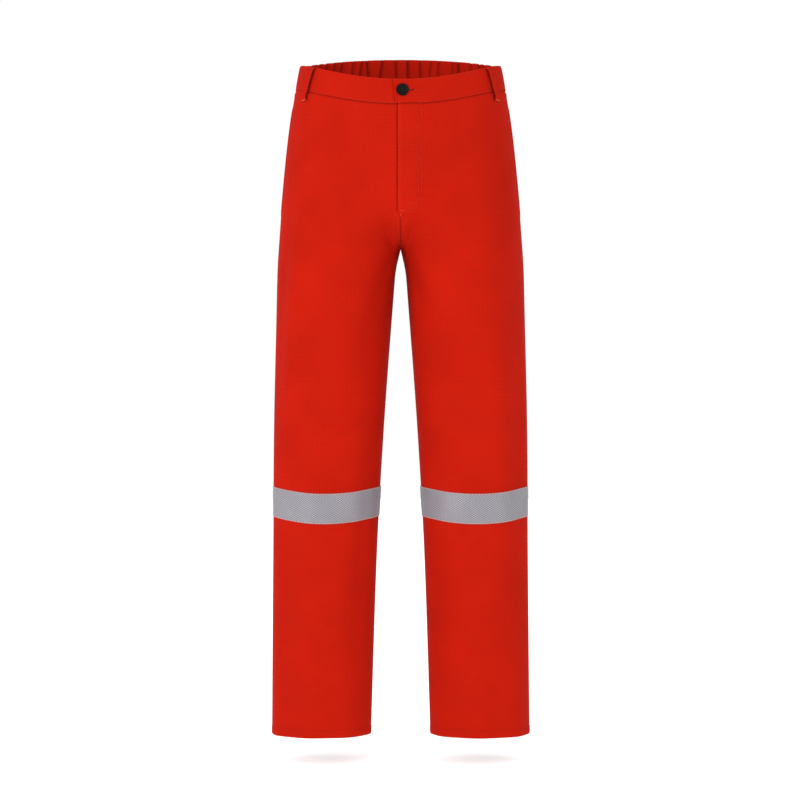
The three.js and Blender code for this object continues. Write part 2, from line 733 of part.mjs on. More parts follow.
// The back pocket is a patch on the outside, sewn down on three sides and open at the top.
function backPocket() {
  const outside = -layerGap;
  const body = bodyBlock(
    patch.from, patch.to, patch.top, patch.bottom, outside - patch.room - patch.wall, outside, 8, 6,
  );
  const room = bodyBlock(
    patch.from + patch.edge, patch.to - patch.edge, patch.top - patch.flange,
    patch.bottom - patch.flange, outside - patch.room, outside + patch.wall, 8, 6,
  );
  return geometryFrom(solidOf(body).subtract(solidOf(room)));
}

for (const side of sides) {
  add(`${side.name}_side_pocket_bag`, onSide(side.sign, sidePocket()), liningCloth);
  add(`${side.name}_back_pocket`, onSide(side.sign, backPocket()), shellCloth);
}

export default group;
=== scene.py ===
# Looks of a fire crew's flame-resistant work trousers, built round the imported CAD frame.
# Sizes are in millimetres in the tables and functions below and turn into metres where a mesh is
# made. +X is the wearer's left, the front faces -Y, and a level is a depth below the waist.
import math

import bpy
import numpy as np
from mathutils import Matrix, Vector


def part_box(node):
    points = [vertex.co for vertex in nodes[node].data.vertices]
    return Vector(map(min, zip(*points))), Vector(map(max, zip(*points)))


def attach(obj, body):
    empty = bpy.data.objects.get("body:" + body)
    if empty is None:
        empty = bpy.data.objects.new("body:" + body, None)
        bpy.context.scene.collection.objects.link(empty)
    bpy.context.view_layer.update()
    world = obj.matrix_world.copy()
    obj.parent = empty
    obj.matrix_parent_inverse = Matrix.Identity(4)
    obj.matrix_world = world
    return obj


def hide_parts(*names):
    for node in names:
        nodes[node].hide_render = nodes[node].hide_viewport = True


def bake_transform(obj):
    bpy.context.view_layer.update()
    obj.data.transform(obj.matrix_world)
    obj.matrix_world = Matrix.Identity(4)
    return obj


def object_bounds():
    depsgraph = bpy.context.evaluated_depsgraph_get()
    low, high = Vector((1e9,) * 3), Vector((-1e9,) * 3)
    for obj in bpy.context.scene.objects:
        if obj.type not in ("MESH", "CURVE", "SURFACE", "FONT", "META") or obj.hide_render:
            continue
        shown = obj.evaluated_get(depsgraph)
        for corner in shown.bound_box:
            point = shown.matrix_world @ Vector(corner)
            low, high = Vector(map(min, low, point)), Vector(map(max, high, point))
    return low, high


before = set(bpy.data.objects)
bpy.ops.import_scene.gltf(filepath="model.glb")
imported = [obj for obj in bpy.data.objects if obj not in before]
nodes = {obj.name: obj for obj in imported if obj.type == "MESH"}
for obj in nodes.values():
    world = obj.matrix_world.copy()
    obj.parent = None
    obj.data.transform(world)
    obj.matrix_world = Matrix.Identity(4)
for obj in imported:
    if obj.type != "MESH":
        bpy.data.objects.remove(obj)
cad_low, cad_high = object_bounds()
MM = 0.001

# ---- The body of the trousers, the same stations as the CAD frame ------------------------------
TORSO = {
    "level": [0, 100, 205, 305], "outer": [168, 184.5, 195.5, 203],
    "front": [105, 110, 116, 115], "back": [105, 122, 136, 130],
}
LEG = {
    "level": [305, 340, 400, 605, 810, 1113], "outer": [203, 205, 206.5, 211, 212.5, 215],
    "inner": [0, 8, 13.5, 28.5, 40, 50], "front": [108, 107, 103, 76, 67, 59],
    "back": [117, 115, 109, 80, 73, 64],
}
RISE = {-1: 100.0, 1: 155.0}
GENTLE_HEIGHT = 190.0
FORK_EASE = 62.0
WAIST_DIP = {-1: 36.0, 1: -30.0}
BAND_HEIGHT = 40.0
CROTCH, HEM = 305.0, 1113.0
HEM_HEIGHT = 14.0
CLOTH = 0.9
SEAM_OVERLAP = 0.12
TAPE_LEVEL, TAPE_WIDTH, TAPE_DIP = 700.0, 50.0, 10.0
BUTTON_LEVEL = 54.0
FLY_BOTTOM, FLY_OVERLAP, FLY_RAMP = 250.0, 6.0, 14.0
BAND_MARGIN, LOOP_MARGIN, TAPE_MARGIN = 2.4, 2.6, 1.3
THREAD_LIFT = 0.12
SIDES = {"left": 1, "right": -1}


def smooth_profile(levels, values):
    """A smooth curve through one size at the named levels."""
    levels, values = np.array(levels, float), np.array(values, float)
    last = len(levels) - 1
    after = np.minimum(np.arange(last + 1) + 1, last)
    before = np.maximum(np.arange(last + 1) - 1, 0)
    slopes = (values[after] - values[before]) / (levels[after] - levels[before])

    def at(level):
        level = np.asarray(level, float)
        i = np.clip(np.searchsorted(levels, level, side="left") - 1, 0, last - 1)
        span = levels[i + 1] - levels[i]
        t = np.clip((level - levels[i]) / span, 0, 1)
        rising = t * t * (3 - 2 * t)
        leaving = span * t * (1 - t) ** 2
        arriving = span * t * t * (t - 1)
        ends = values[i] * (1 - rising) + values[i + 1] * rising
        return ends + slopes[i] * leaving + slopes[i + 1] * arriving
    return at


outer_at = smooth_profile(TORSO["level"] + LEG["level"][1:], TORSO["outer"] + LEG["outer"][1:])
inner_at = smooth_profile(LEG["level"], LEG["inner"])
torso_front = smooth_profile(TORSO["level"], TORSO["front"])
torso_back = smooth_profile(TORSO["level"], TORSO["back"])
leg_front = smooth_profile(LEG["level"], LEG["front"])
leg_back = smooth_profile(LEG["level"], LEG["back"])


def smoothstep(x, low, high):
    t = np.clip((np.asarray(x, float) - low) / (high - low), 0, 1)
    return t * t * (3 - 2 * t)


def lerp(a, b, t):
    return a + (b - a) * t


def together(first, second):
    """Two values as number arrays of one shape."""
    return np.broadcast_arrays(np.asarray(first, float), np.asarray(second, float))


def bell(x, width):
    return np.exp(-(x / width) ** 2)


def xyz(x, y, z):
    return np.stack(np.broadcast_arrays(x, y, z), -1)


def grid_of(first, second):
    return np.meshgrid(first, second, indexing="ij")


def shell_point(u, level, blend, inset):
    """A point on the left half: u is -1 at the centre front, 0 at the side seam, 1 at the back."""
    u, level = np.asarray(u, float), np.asarray(level, float)
    outer, inner = outer_at(level) - inset, inner_at(level) + inset
    torso_depth = np.where(u < 0, torso_front(level), torso_back(level)) - inset
    leg_depth = np.where(u < 0, leg_front(level), leg_back(level)) - inset
    leg_x = (outer + inner) / 2 + (outer - inner) / 2 * np.cos(u * np.pi)
    x = lerp(outer * np.cos(u * np.pi / 2), leg_x, blend)
    y = lerp(torso_depth * np.sin(u * np.pi / 2), leg_depth * np.sin(u * np.pi), blend)
    return xyz(x, y, -level)


def waist_level(u):
    u = np.asarray(u, float)
    turn = np.abs(np.sin(u * np.pi / 2))
    curve = np.where(u < 0, WAIST_DIP[-1] * turn ** 2.2, WAIST_DIP[1] * turn ** 1.2)
    return curve + 1.6 * bell(u, 0.05)


def blend_at(u, level, inset):
    """How far the torso has turned into a leg: a quarter circle at the crotch seam, and easing
    further down the leg away from it, so that no crease runs across the front."""
    u, level = np.asarray(u, float), np.asarray(level, float)
    out = np.minimum(np.abs(u), 1)
    height = np.where(u < 0, RISE[-1], RISE[1])
    end = CROTCH - inset + FORK_EASE * (1 - smoothstep(out, 0.55, 1.0))
    start = CROTCH - height
    share = np.clip((level - start) / (end - start), 0, 1)
    circle = 1 - np.sqrt(1 - share * share)
    eased = smoothstep(share, 0, 1) ** 2
    curved = lerp(eased, circle, smoothstep(out, 0.8, 1.0))
    gentle = smoothstep(level, CROTCH - GENTLE_HEIGHT, end)
    return lerp(gentle, curved, smoothstep(out, 0.4, 0.95))


def body_point(u, level, inset=0.0):
    return shell_point(u, level, blend_at(u, level, inset), inset)


def outward(u, level):
    """The direction away from the wearer, at right angles to the cloth."""
    step_u, step_level = 0.003, 0.6
    across = body_point(u + step_u, level) - body_point(u - step_u, level)
    down = body_point(u, level + step_level) - body_point(u, level - step_level)
    normal = np.cross(across, down)
    away = body_point(u, level, 0.0) - body_point(u, level, 0.5)
    normal *= np.sign((normal * away).sum(-1, keepdims=True) + 1e-12)
    size = np.linalg.norm(normal, axis=-1, keepdims=True)
    away /= np.maximum(np.linalg.norm(away, axis=-1, keepdims=True), 1e-9)
    good = size > 1e-3
    return np.where(good, normal / np.maximum(size, 1e-9), away)


def solve(measure, target, low, high):
    """Finds the u at which a rising measure reaches each target."""
    low, high = np.full(np.shape(target), low), np.full(np.shape(target), high)
    for _ in range(30):
        middle = (low + high) / 2
        below = measure(middle) < target
        low, high = np.where(below, middle, low), np.where(below, high, middle)
    return (low + high) / 2


def u_at_x(x, level, inset=0.0):
    x, level = together(x, level)
    return solve(lambda u: body_point(u, level, inset)[..., 0], x, -1.3, -0.3)


def u_at_y(y, level):
    y, level = together(y, level)
    return solve(lambda u: body_point(u, level)[..., 1], y, -0.4, 0.0)


def window(level, start, end, ramp):
    return smoothstep(np.minimum(level - start, end - level) / ramp + 1, 0, 1)


# ---- Folds of the cloth ------------------------------------------------------------------------
def fold(u, level, line, width, height):
    """A soft ridge, or a hollow if height is negative, along a line of (level, u) points."""
    levels, places = [p[0] for p in line], [p[1] for p in line]
    centre = np.interp(level, levels, places)
    length = levels[-1] - levels[0]
    along = np.clip((level - levels[0]) / length, 0, 1)
    taper = np.sin(np.pi * along) ** 0.8
    return height * taper * bell(u - centre, width)


def ripple(u, level, seed, count, waves_u, waves_level):
    """Gentle unevenness made of a few crossed waves, the same on every run."""
    draw = np.random.RandomState(seed)
    total = np.zeros(np.broadcast(u, level).shape)
    for _ in range(count):
        a, b = draw.uniform(*waves_u), draw.uniform(*waves_level)
        phase_a, phase_b = draw.uniform(0, 2 * np.pi, 2)
        total += np.sin(a * u * np.pi + phase_a + 1.3 * np.sin(b * level / 180 + phase_b))
    return total / count


# Lines of folds for each side: (points of level and u, width in u, height in mm).
FRONT_FOLDS = {
    1: [
        ([(60, -0.80), (190, -0.72), (300, -0.66)], 0.07, 1.6),
        ([(250, -0.86), (330, -0.74), (480, -0.60), (640, -0.50)], 0.075, 3.0),
        ([(262, -0.95), (350, -0.84), (430, -0.76)], 0.05, -2.6),
        ([(300, -0.40), (480, -0.34), (700, -0.36), (1000, -0.40)], 0.09, 2.6),
        ([(330, -0.24), (560, -0.20), (860, -0.18), (1100, -0.16)], 0.07, -2.4),
        ([(700, -0.62), (900, -0.58), (1113, -0.55)], 0.08, 2.2),
        ([(560, -0.80), (800, -0.78), (1060, -0.80)], 0.07, -2.0),
        ([(560, -0.86), (610, -0.62), (640, -0.45)], 0.05, -1.4),
    ],
    -1: [
        ([(70, -0.72), (200, -0.62), (330, -0.56)], 0.07, 1.8),
        ([(250, -0.86), (330, -0.72), (480, -0.58), (620, -0.50)], 0.075, 2.8),
        ([(262, -0.95), (350, -0.82), (430, -0.72)], 0.05, -2.6),
        ([(180, -0.36), (330, -0.28), (520, -0.24), (700, -0.26)], 0.07, 3.2),
        ([(200, -0.24), (380, -0.17), (560, -0.15)], 0.05, -2.6),
        ([(420, -0.46), (640, -0.44), (900, -0.42), (1110, -0.40)], 0.08, 2.4),
        ([(640, -0.30), (860, -0.27), (1113, -0.26)], 0.06, -2.2),
        ([(560, -0.80), (800, -0.76), (1090, -0.72)], 0.07, -2.4),
        ([(575, -0.84), (615, -0.60), (650, -0.45)], 0.05, -1.4),
    ],
}
BACK_FOLDS = [
    ([(240, 0.90), (330, 0.74), (450, 0.60), (560, 0.52)], 0.06, 3.6),
    ([(280, 0.95), (370, 0.82), (470, 0.70)], 0.045, -3.0),
    ([(330, 0.93), (420, 0.84), (540, 0.74)], 0.05, 2.6),
    ([(300, 0.30), (500, 0.32), (760, 0.34), (1000, 0.32)], 0.08, 2.8),
    ([(560, 0.50), (800, 0.52), (1100, 0.50)], 0.07, -2.4),
    ([(420, 0.16), (700, 0.15), (1090, 0.16)], 0.06, -2.0),
]
GATHERS = {}
for gather_side in (1, -1):
    draw = np.random.RandomState(11 + gather_side)
    places = 0.05 + np.cumsum(draw.uniform(0.05, 0.105, 14))
    GATHERS[gather_side] = list(zip(places[places < 0.985], draw.uniform(0.55, 1.0, 14),
                                    draw.uniform(-0.026, 0.026, 14)))


def gather(side, u, drop):
    """Hollows that the elastic draws into the back of the waistband, 0 to 1 deep."""
    total = np.zeros(np.broadcast(u, drop).shape)
    for place, size, lean in GATHERS[side]:
        centre = place + lean * (drop / BAND_HEIGHT - 0.5)
        away = np.abs(u - centre) / 0.011
        total = np.maximum(total, size * np.exp(-away ** 1.5))
    return total * smoothstep(u, 0.03, 0.10)


def cloth_lift(side, u, level):
    """How far the cloth stands out from the plain body, in mm."""
    front = u < 0
    total = 0.7 * ripple(u, level, 3 + side, 5, (2.0, 5.0), (0.5, 1.6))
    for line, width, height in FRONT_FOLDS[side]:
        total = total + np.where(front, fold(u, level, line, width, height), 0)
    for line, width, height in BACK_FOLDS:
        total = total + np.where(front, 0, fold(u, level, line, width, height))
    hollow = np.exp(-np.clip(level - 12, 0, None) / 42) * (level < 240)
    total = total - np.where(front, 0, 2.8 * gather(side, u, BAND_HEIGHT) * hollow)
    behind_knee = bell(level - 612, 46) * smoothstep(u, 0.2, 0.4)
    behind_knee = behind_knee * (1 - smoothstep(u, 0.62, 0.85))
    total = total + 1.7 * behind_knee * np.sin(level / 6.6 + 5 * u + 1.4 * np.sin(9 * u))
    over_knee = bell(level - 600, 60) * (1 - smoothstep(-u, 0.70, 0.9))
    over_knee = over_knee * smoothstep(-u, 0.15, 0.35)
    total = total + 0.55 * over_knee * np.sin(level / 10 + 7 * u)
    hem_wave = np.exp(-(HEM - level) / 120) * np.sin(7.5 * u * np.pi + side)
    total = total + 1.1 * hem_wave
    # Nothing pushes the two halves into each other where they meet round the crotch.
    meeting = 1 - window(level, CROTCH - 175, CROTCH + 60, 40)
    near_middle = smoothstep(1 - np.abs(u), 0.0, 0.14)
    total = total * np.maximum(near_middle, 0.25 * meeting)
    at_side = 1 - 0.55 * bell(u, 0.05)
    return total * at_side * smoothstep(level, 20, 75)


def placed(side, points):
    """Points of the left half on the given side."""
    points = np.array(points, float)
    points[..., 0] *= side
    return points


def skin(side, u, level, lift=0.0):
    """A point on the finished cloth, lift mm off it."""
    u, level = together(u, level)
    away = cloth_lift(side, u, level) + lift
    return body_point(u, level) + outward(u, level) * away[..., None]


# ---- Materials ---------------------------------------------------------------------------------
def linear(red, green, blue):
    def channel(value):
        value /= 255
        return value / 12.92 if value <= 0.04045 else ((value + 0.055) / 1.055) ** 2.4
    return (channel(red), channel(green), channel(blue), 1.0)


def put(tree, kind, inputs=None, **settings):
    made = tree.nodes.new(kind)
    for key, value in settings.items():
        setattr(made, key, value)
    for key, value in (inputs or {}).items():
        if isinstance(value, bpy.types.NodeSocket):
            tree.links.new(value, made.inputs[key])
        else:
            made.inputs[key].default_value = value
    return made


def new_material(name):
    made = bpy.data.materials.new(name)
    made.use_nodes = True
    return made, made.node_tree, made.node_tree.nodes["Principled BSDF"]


def shade(colour, share):
    return tuple(channel * share for channel in colour[:3]) + (1.0,)


def mixed(tree, factor, first, second, how="MIX"):
    made = put(tree, "ShaderNodeMixRGB", {"Fac": factor, "Color1": first, "Color2": second},
               blend_type=how)
    return made.outputs["Color"]


def sums(tree, how, first, second):
    made = put(tree, "ShaderNodeMath", {0: first, 1: second}, operation=how)
    return made.outputs[0]


def wave(tree, place, period, direction="X"):
    """Parallel ridges with the given period in mm, along one way of the cloth."""
    made = put(tree, "ShaderNodeTexWave", {"Vector": place, "Scale": 0.314 / (period * MM)},
               wave_type="BANDS", bands_direction=direction)
    return made.outputs["Fac"]


def noise(tree, place, size, detail=3.0):
    """Cloudy noise with blobs about size mm across."""
    made = put(tree, "ShaderNodeTexNoise",
               {"Vector": place, "Scale": 1 / (size * MM), "Detail": detail})
    return made.outputs[0]


def spread(tree, value, low, high, to_low=0.0, to_high=1.0):
    made = put(tree, "ShaderNodeMapRange", {
        "Value": value, "From Min": low, "From Max": high, "To Min": to_low, "To Max": to_high,
    })
    return made.outputs["Result"]


def wire(tree, shader, base, height, strength, distance, roughness, specular):
    """Joins a colour, a bump and a roughness to the shader."""
    tree.links.new(base, shader.inputs["Base Color"])
    bump = put(tree, "ShaderNodeBump", {"Height": height, "Strength": strength,
                                        "Distance": distance})
    tree.links.new(bump.outputs["Normal"], shader.inputs["Normal"])
    tree.links.new(roughness, shader.inputs["Roughness"])
    shader.inputs["Specular IOR Level"].default_value = specular


def cloth_material(name, colour, faded, twill=0.9, grid=6.6, depth=0.5, rough=0.88):
    """Woven cloth: a twill with a faint ripstop grid and uneven dye. Its attribute of real wear and
    painted shade is above 0 on rubbed edges, which fade, and below 0 where shade is painted dark."""
    made, tree, shader = new_material(name)
    place = put(tree, "ShaderNodeUVMap", uv_map="cloth").outputs["UV"]
    diagonal = wave(tree, place, twill, "DIAGONAL")
    across = spread(tree, wave(tree, place, grid, "X"), 0.93, 1.0)
    along = spread(tree, wave(tree, place, grid, "Y"), 0.93, 1.0)
    lines = sums(tree, "MAXIMUM", across, along)
    slub = noise(tree, place, 1.4, 2.0)
    blotches = spread(tree, noise(tree, place, 95, 4.0), 0.35, 0.65)
    base = mixed(tree, blotches, shade(colour, 0.93), shade(colour, 1.05))
    base = mixed(tree, spread(tree, slub, 0.3, 0.7, 0.0, 0.16), base, shade(colour, 0.72))
    base = mixed(tree, sums(tree, "MULTIPLY", lines, 0.16), base, shade(colour, 0.62))
    wear_and_shade = put(tree, "ShaderNodeAttribute", attribute_name="wear_and_shade").outputs["Fac"]
    patchy = spread(tree, noise(tree, place, 5, 4.0), 0.35, 0.7, 0.15, 0.75)
    worn = sums(tree, "MULTIPLY", spread(tree, wear_and_shade, 0, 1), patchy)
    base = mixed(tree, worn, base, faded)
    # Painted shade: below 0 the attribute darkens the cloth in seams' hollows, under overlaps and
    # in the gathers, where shadow falls.
    painted_shade = spread(tree, wear_and_shade, 0, -1)
    base = mixed(tree, painted_shade, base, shade(colour, 0.16))
    height = sums(tree, "ADD", diagonal, sums(tree, "MULTIPLY", lines, 0.8))
    height = sums(tree, "ADD", height, sums(tree, "MULTIPLY", slub, 1.2))
    roughness = spread(tree, slub, 0.2, 0.8, rough - 0.05, rough + 0.06)
    wire(tree, shader, base, height, depth, 0.00022, roughness, 0.05)
    shader.inputs["Sheen Weight"].default_value = 0.012
    shader.inputs["Sheen Roughness"].default_value = 0.5
    shader.inputs["Sheen Tint"].default_value = faded
    return made


def thread_material(name, colour):
    """Twisted sewing thread, drawn in object space because its dashes have no flat layout."""
    made, tree, shader = new_material(name)
    place = put(tree, "ShaderNodeTexCoord").outputs["Object"]
    strands = noise(tree, place, 0.5, 2.0)
    uneven = noise(tree, place, 20, 3.0)
    base = mixed(tree, spread(tree, strands, 0.3, 0.7), shade(colour, 0.75), shade(colour, 1.1))
    base = mixed(tree, spread(tree, uneven, 0.3, 0.7, 0, 0.25), base, shade(colour, 0.8))
    wire(tree, shader, base, strands, 0.4, 0.0001, spread(tree, strands, 0.2, 0.8, 0.6, 0.8), 0.2)
    return made


def tape_material(name):
    """Retroreflective tape: silver grey with a pressed diamond lattice."""
    made, tree, shader = new_material(name)
    place = put(tree, "ShaderNodeUVMap", uv_map="cloth").outputs["UV"]
    parts = put(tree, "ShaderNodeSeparateXYZ", {"Vector": place})
    x = sums(tree, "DIVIDE", parts.outputs["X"], 5.4 * MM)
    y = sums(tree, "DIVIDE", parts.outputs["Y"], 3.6 * MM)
    lines = []
    for how in ("ADD", "SUBTRACT"):
        cell = sums(tree, "PINGPONG", sums(tree, how, x, y), 0.5)
        lines.append(spread(tree, cell, 0.0, 0.16, 1.0, 0.0))
    lattice = sums(tree, "MAXIMUM", lines[0], lines[1])
    blotches = noise(tree, place, 60, 3.0)
    silver = linear(142, 139, 145)
    base = mixed(tree, spread(tree, blotches, 0.3, 0.7), shade(silver, 0.93), shade(silver, 1.06))
    base = mixed(tree, lattice, base, linear(52, 50, 56))
    scuffs = spread(tree, noise(tree, place, 3, 5.0), 0.60, 0.75, 0.0, 0.35)
    base = mixed(tree, scuffs, base, linear(112, 107, 110))
    wire(tree, shader, base, lattice, 0.35, 0.0002, spread(tree, lattice, 0, 1, 0.5, 0.68), 0.25)
    shader.inputs["Metallic"].default_value = 0.15
    return made


def solid_material(name, colour, metallic, low, high, grain=6.0, darker=0.7):
    """Metal or plastic with fine grain and smudges."""
    made, tree, shader = new_material(name)
    place = put(tree, "ShaderNodeTexCoord").outputs["Object"]
    cloudy = noise(tree, place, grain, 4.0)
    fine = noise(tree, place, 0.4, 3.0)
    base = mixed(tree, spread(tree, cloudy, 0.3, 0.7), shade(colour, darker), colour)
    roughness = spread(tree, cloudy, 0.25, 0.75, low, high)
    wire(tree, shader, base, fine, 0.12, 0.0001, roughness, 0.5 if metallic else 0.08)
    shader.inputs["Metallic"].default_value = metallic
    return made


SHELL = linear(164, 20, 4)
SHELL_FADED = linear(184, 46, 26)
shell_cloth = cloth_material("aramid_twill", SHELL, SHELL_FADED)
lining_cloth = cloth_material("pocketing", linear(124, 16, 8), linear(146, 50, 36), 0.6, 1.6, 0.35)
zip_web = cloth_material("zip_webbing", linear(132, 16, 9), linear(150, 50, 36), 0.8, 1.2, 0.6)
elastic_web = cloth_material("elastic_webbing", linear(172, 166, 157), linear(188, 182, 172),
                             0.9, 2.0, 0.7)
seam_thread = thread_material("red_thread", linear(170, 27, 12))
faded_thread = thread_material("faded_thread", linear(196, 40, 20))
tack_thread = thread_material("orange_thread", linear(200, 96, 62))
pink_thread = thread_material("pink_thread", linear(204, 148, 138))
black_thread = thread_material("black_thread", linear(30, 24, 24))
silver_tape = tape_material("silver_tape")
brass = solid_material("brass", linear(196, 156, 88), 1.0, 0.28, 0.5)
black_plastic = solid_material("button_plastic", linear(9, 7, 8), 0.0, 0.42, 0.6, 4.0, 0.8)


# ---- Mesh makers -------------------------------------------------------------------------------
def add_object(name, mesh, finish):
    mesh.polygons.foreach_set("use_smooth", [True] * len(mesh.polygons))
    made = bpy.data.objects.new(name, mesh)
    bpy.context.scene.collection.objects.link(made)
    mesh.materials.append(finish)
    return made


def mesh_object(name, points, faces, finish, uv=None, wear_and_shade=None, angle=42):
    """A mesh object from points in mm. uv is in metres of flat cloth, one pair for each point."""
    mesh = bpy.data.meshes.new(name)
    points = np.asarray(points, float)
    faces = np.asarray(faces)
    corners = points[faces]
    fan = np.cross(corners[:, 1], corners[:, 2]) * corners[:, 0]
    volume = fan.sum()
    if faces.shape[1] == 4:
        volume += (np.cross(corners[:, 2], corners[:, 3]) * corners[:, 0]).sum()
    if volume < 0:
        faces = faces[:, ::-1]
    mesh.from_pydata((points * MM).tolist(), [], faces.tolist())
    if uv is not None:
        layer = mesh.uv_layers.new(name="cloth")
        index = np.empty(len(mesh.loops), np.int32)
        mesh.loops.foreach_get("vertex_index", index)
        layer.data.foreach_set("uv", np.asarray(uv, np.float32)[index].ravel())
    if wear_and_shade is not None:
        attribute = mesh.attributes.new("wear_and_shade", "FLOAT", "POINT")
        attribute.data.foreach_set("value", np.asarray(wear_and_shade, np.float32))
    made = add_object(name, mesh, finish)
    mesh.set_sharp_from_angle(angle=math.radians(angle))
    return made


def slab(name, outer, inner, finish, uv=None, wear_and_shade=None):
    """A closed sheet between two grids of points."""
    columns, rows = outer.shape[0] - 1, outer.shape[1] - 1
    count = (columns + 1) * (rows + 1)
    index = np.arange(count).reshape(columns + 1, rows + 1)
    a, b, c, d = index[:-1, :-1], index[1:, :-1], index[1:, 1:], index[:-1, 1:]
    front = np.stack([a, b, c, d], -1).reshape(-1, 4)
    faces = [front, front[:, ::-1] + count]
    rim = np.concatenate([index[:, 0], index[-1, 1:], index[-2::-1, -1], index[0, -2:0:-1]])
    after = np.roll(rim, -1)
    faces.append(np.stack([after, rim, rim + count, after + count], -1))
    points = np.concatenate([outer.reshape(-1, 3), inner.reshape(-1, 3)])
    if uv is None:
        across = np.linalg.norm(np.diff(outer, axis=0), axis=-1)
        along = np.linalg.norm(np.diff(outer, axis=1), axis=-1)
        start_row = np.zeros((1, rows + 1))
        start_column = np.zeros((columns + 1, 1))
        u = np.concatenate([start_row, np.cumsum(across, 0)], 0)
        v = np.concatenate([start_column, np.cumsum(along, 1)], 1)
        uv = np.stack([u, v], -1) * MM
    uv = np.tile(uv.reshape(-1, 2), (2, 1))
    if wear_and_shade is not None:
        wear_and_shade = np.tile(wear_and_shade.ravel(), 2)
    return mesh_object(name, points, np.concatenate(faces), finish, uv, wear_and_shade)


def path_lengths(points):
    steps = np.linalg.norm(np.diff(points, axis=0), axis=-1)
    return np.concatenate([[0], np.cumsum(steps)])


def sampled(values, lengths, at):
    return np.stack([np.interp(at, lengths, values[:, k]) for k in range(values.shape[1])], -1)


def dashes(points, normals, stitch=2.5, gap=1.0, radius=0.26):
    """Short lengths of thread along a line that lies on the cloth: (points, faces)."""
    lengths = path_lengths(points)
    count = max(1, int(lengths[-1] / (stitch + gap)))
    pitch = lengths[-1] / count
    middles = (np.arange(count) + 0.5) * pitch
    offsets = np.array([-0.5, -0.28, 0.28, 0.5]) * stitch
    lifts = np.array([-0.30, 0.12, 0.12, -0.30])
    widths = np.array([0.6, 1.0, 1.0, 0.6]) * radius
    at = middles[:, None] + offsets[None, :]
    place = sampled(points, lengths, at.ravel()).reshape(count, 4, 3)
    normal = sampled(normals, lengths, at.ravel()).reshape(count, 4, 3)
    normal /= np.linalg.norm(normal, axis=-1, keepdims=True)
    tangent = place[:, -1:] - place[:, :1]
    tangent /= np.maximum(np.linalg.norm(tangent, axis=-1, keepdims=True), 1e-9)
    sideways = np.cross(tangent, normal)
    place = place + normal * lifts[None, :, None]
    turns = np.arange(5) / 5 * 2 * np.pi
    ring = (np.cos(turns)[None, None, :, None] * sideways[:, :, None, :]
            + np.sin(turns)[None, None, :, None] * normal[:, :, None, :])
    verts = place[:, :, None, :] + ring * widths[None, :, None, None]
    k = np.arange(5)
    tube = [np.stack([r * 5 + k, r * 5 + (k + 1) % 5, r * 5 + 5 + (k + 1) % 5, r * 5 + 5 + k], -1)
            for r in range(3)]
    tube = np.concatenate(tube)
    caps = np.array([[0, 4, 3, 0], [0, 3, 2, 0], [0, 2, 1, 0]])[:, :3]
    ends = np.concatenate([caps, 15 + caps[:, ::-1]])
    quads = (tube[None] + (np.arange(count) * 20)[:, None, None]).reshape(-1, 4)
    tris = (ends[None] + (np.arange(count) * 20)[:, None, None]).reshape(-1, 3)
    return verts.reshape(-1, 3), quads, tris


def stitching(name, lines, finish, **sizes):
    """One piece from many lines of stitches, each being (points, normals or one normal)."""
    verts, faces, total = [], [], 0
    for points, normals in lines:
        points = np.asarray(points)
        made, quads, tris = dashes(points, np.broadcast_to(normals, points.shape), **sizes)
        verts.append(made)
        faces += (quads + total).tolist() + (tris + total).tolist()
        total += len(made)
    mesh = bpy.data.meshes.new(name)
    mesh.from_pydata((np.concatenate(verts) * MM).tolist(), [], faces)
    return add_object(name, mesh, finish)


def on_skin(side, u, level, lift=0.1):
    """A line on the cloth as (points, normals), placed on its side."""
    u, level = together(u, level)
    return (placed(side, skin(side, u, level, lift)), placed(side, outward(u, level)))


def placket(x, level):
    """How far the left front stands proud over the fly's layers."""
    along_fly = window(level, -50, FLY_BOTTOM - 4, FLY_RAMP)
    ruck = 0.22 * np.sin(level / 7.5) * (1 - smoothstep(x, 20, 30))
    return along_fly * (1.0 * (1 - smoothstep(x, 27, 35)) + ruck)


def bartack(side, centre, along, away, length, width=2.0):
    """A block of close stitches across a line, as lines for stitching()."""
    across = np.cross(along, away)
    lines = []
    for shift in np.arange(-length / 2, length / 2 + 0.01, 0.62):
        ends = [centre + along * shift + across * t * width for t in (-0.5, -0.17, 0.17, 0.5)]
        lines.append((placed(side, ends), placed(side, away)))
    return lines


def level_bartack(side, centre, away):
    """A bartack that lies level on the cloth, at a corner of a pocket."""
    along = np.cross(away, [0.0, 0.0, 1.0])
    return bartack(side, centre, along / np.linalg.norm(along), away, 8.0, 1.8)


def finished(piece, body, slot, *replaced):
    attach(piece, body)
    if replaced:
        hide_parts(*replaced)
    return piece


def sewn(name, lines, finish=seam_thread, body="seat", slot="shell_cloth", **sizes):
    """A piece made of lines of stitches."""
    return finished(stitching(name, lines, finish, **sizes), body, slot)


def knee_blend(piece, side_name, slot, *replaced):
    """Bakes the piece's placement into its mesh and hides the parts that it replaces."""
    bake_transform(piece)
    if replaced:
        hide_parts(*replaced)
    return piece


# ---- Camera, light and floor -------------------------------------------------------------------
FIELD_OF_VIEW, CAMERA_PLACE = 22.26, (-0.001, -3.4, -0.5565)
FLOOR_DROP = 45.0
camera_data = bpy.data.cameras.new("camera")
camera_data.sensor_width = 36
camera_data.lens = camera_data.sensor_width / 2 / math.tan(math.radians(FIELD_OF_VIEW / 2))
camera = bpy.data.objects.new("camera", camera_data)
camera.location = CAMERA_PLACE
camera.rotation_euler = (math.radians(90), 0, 0)
bpy.context.scene.collection.objects.link(camera)
bpy.context.scene.camera = camera
bpy.context.scene.view_settings.view_transform = "Standard"

world = bpy.data.worlds.new("studio")
world.use_nodes = True
world.node_tree.nodes["Background"].inputs["Color"].default_value = (1, 1, 1, 1)
world.node_tree.nodes["Background"].inputs["Strength"].default_value = 1.0
bpy.context.scene.world = world


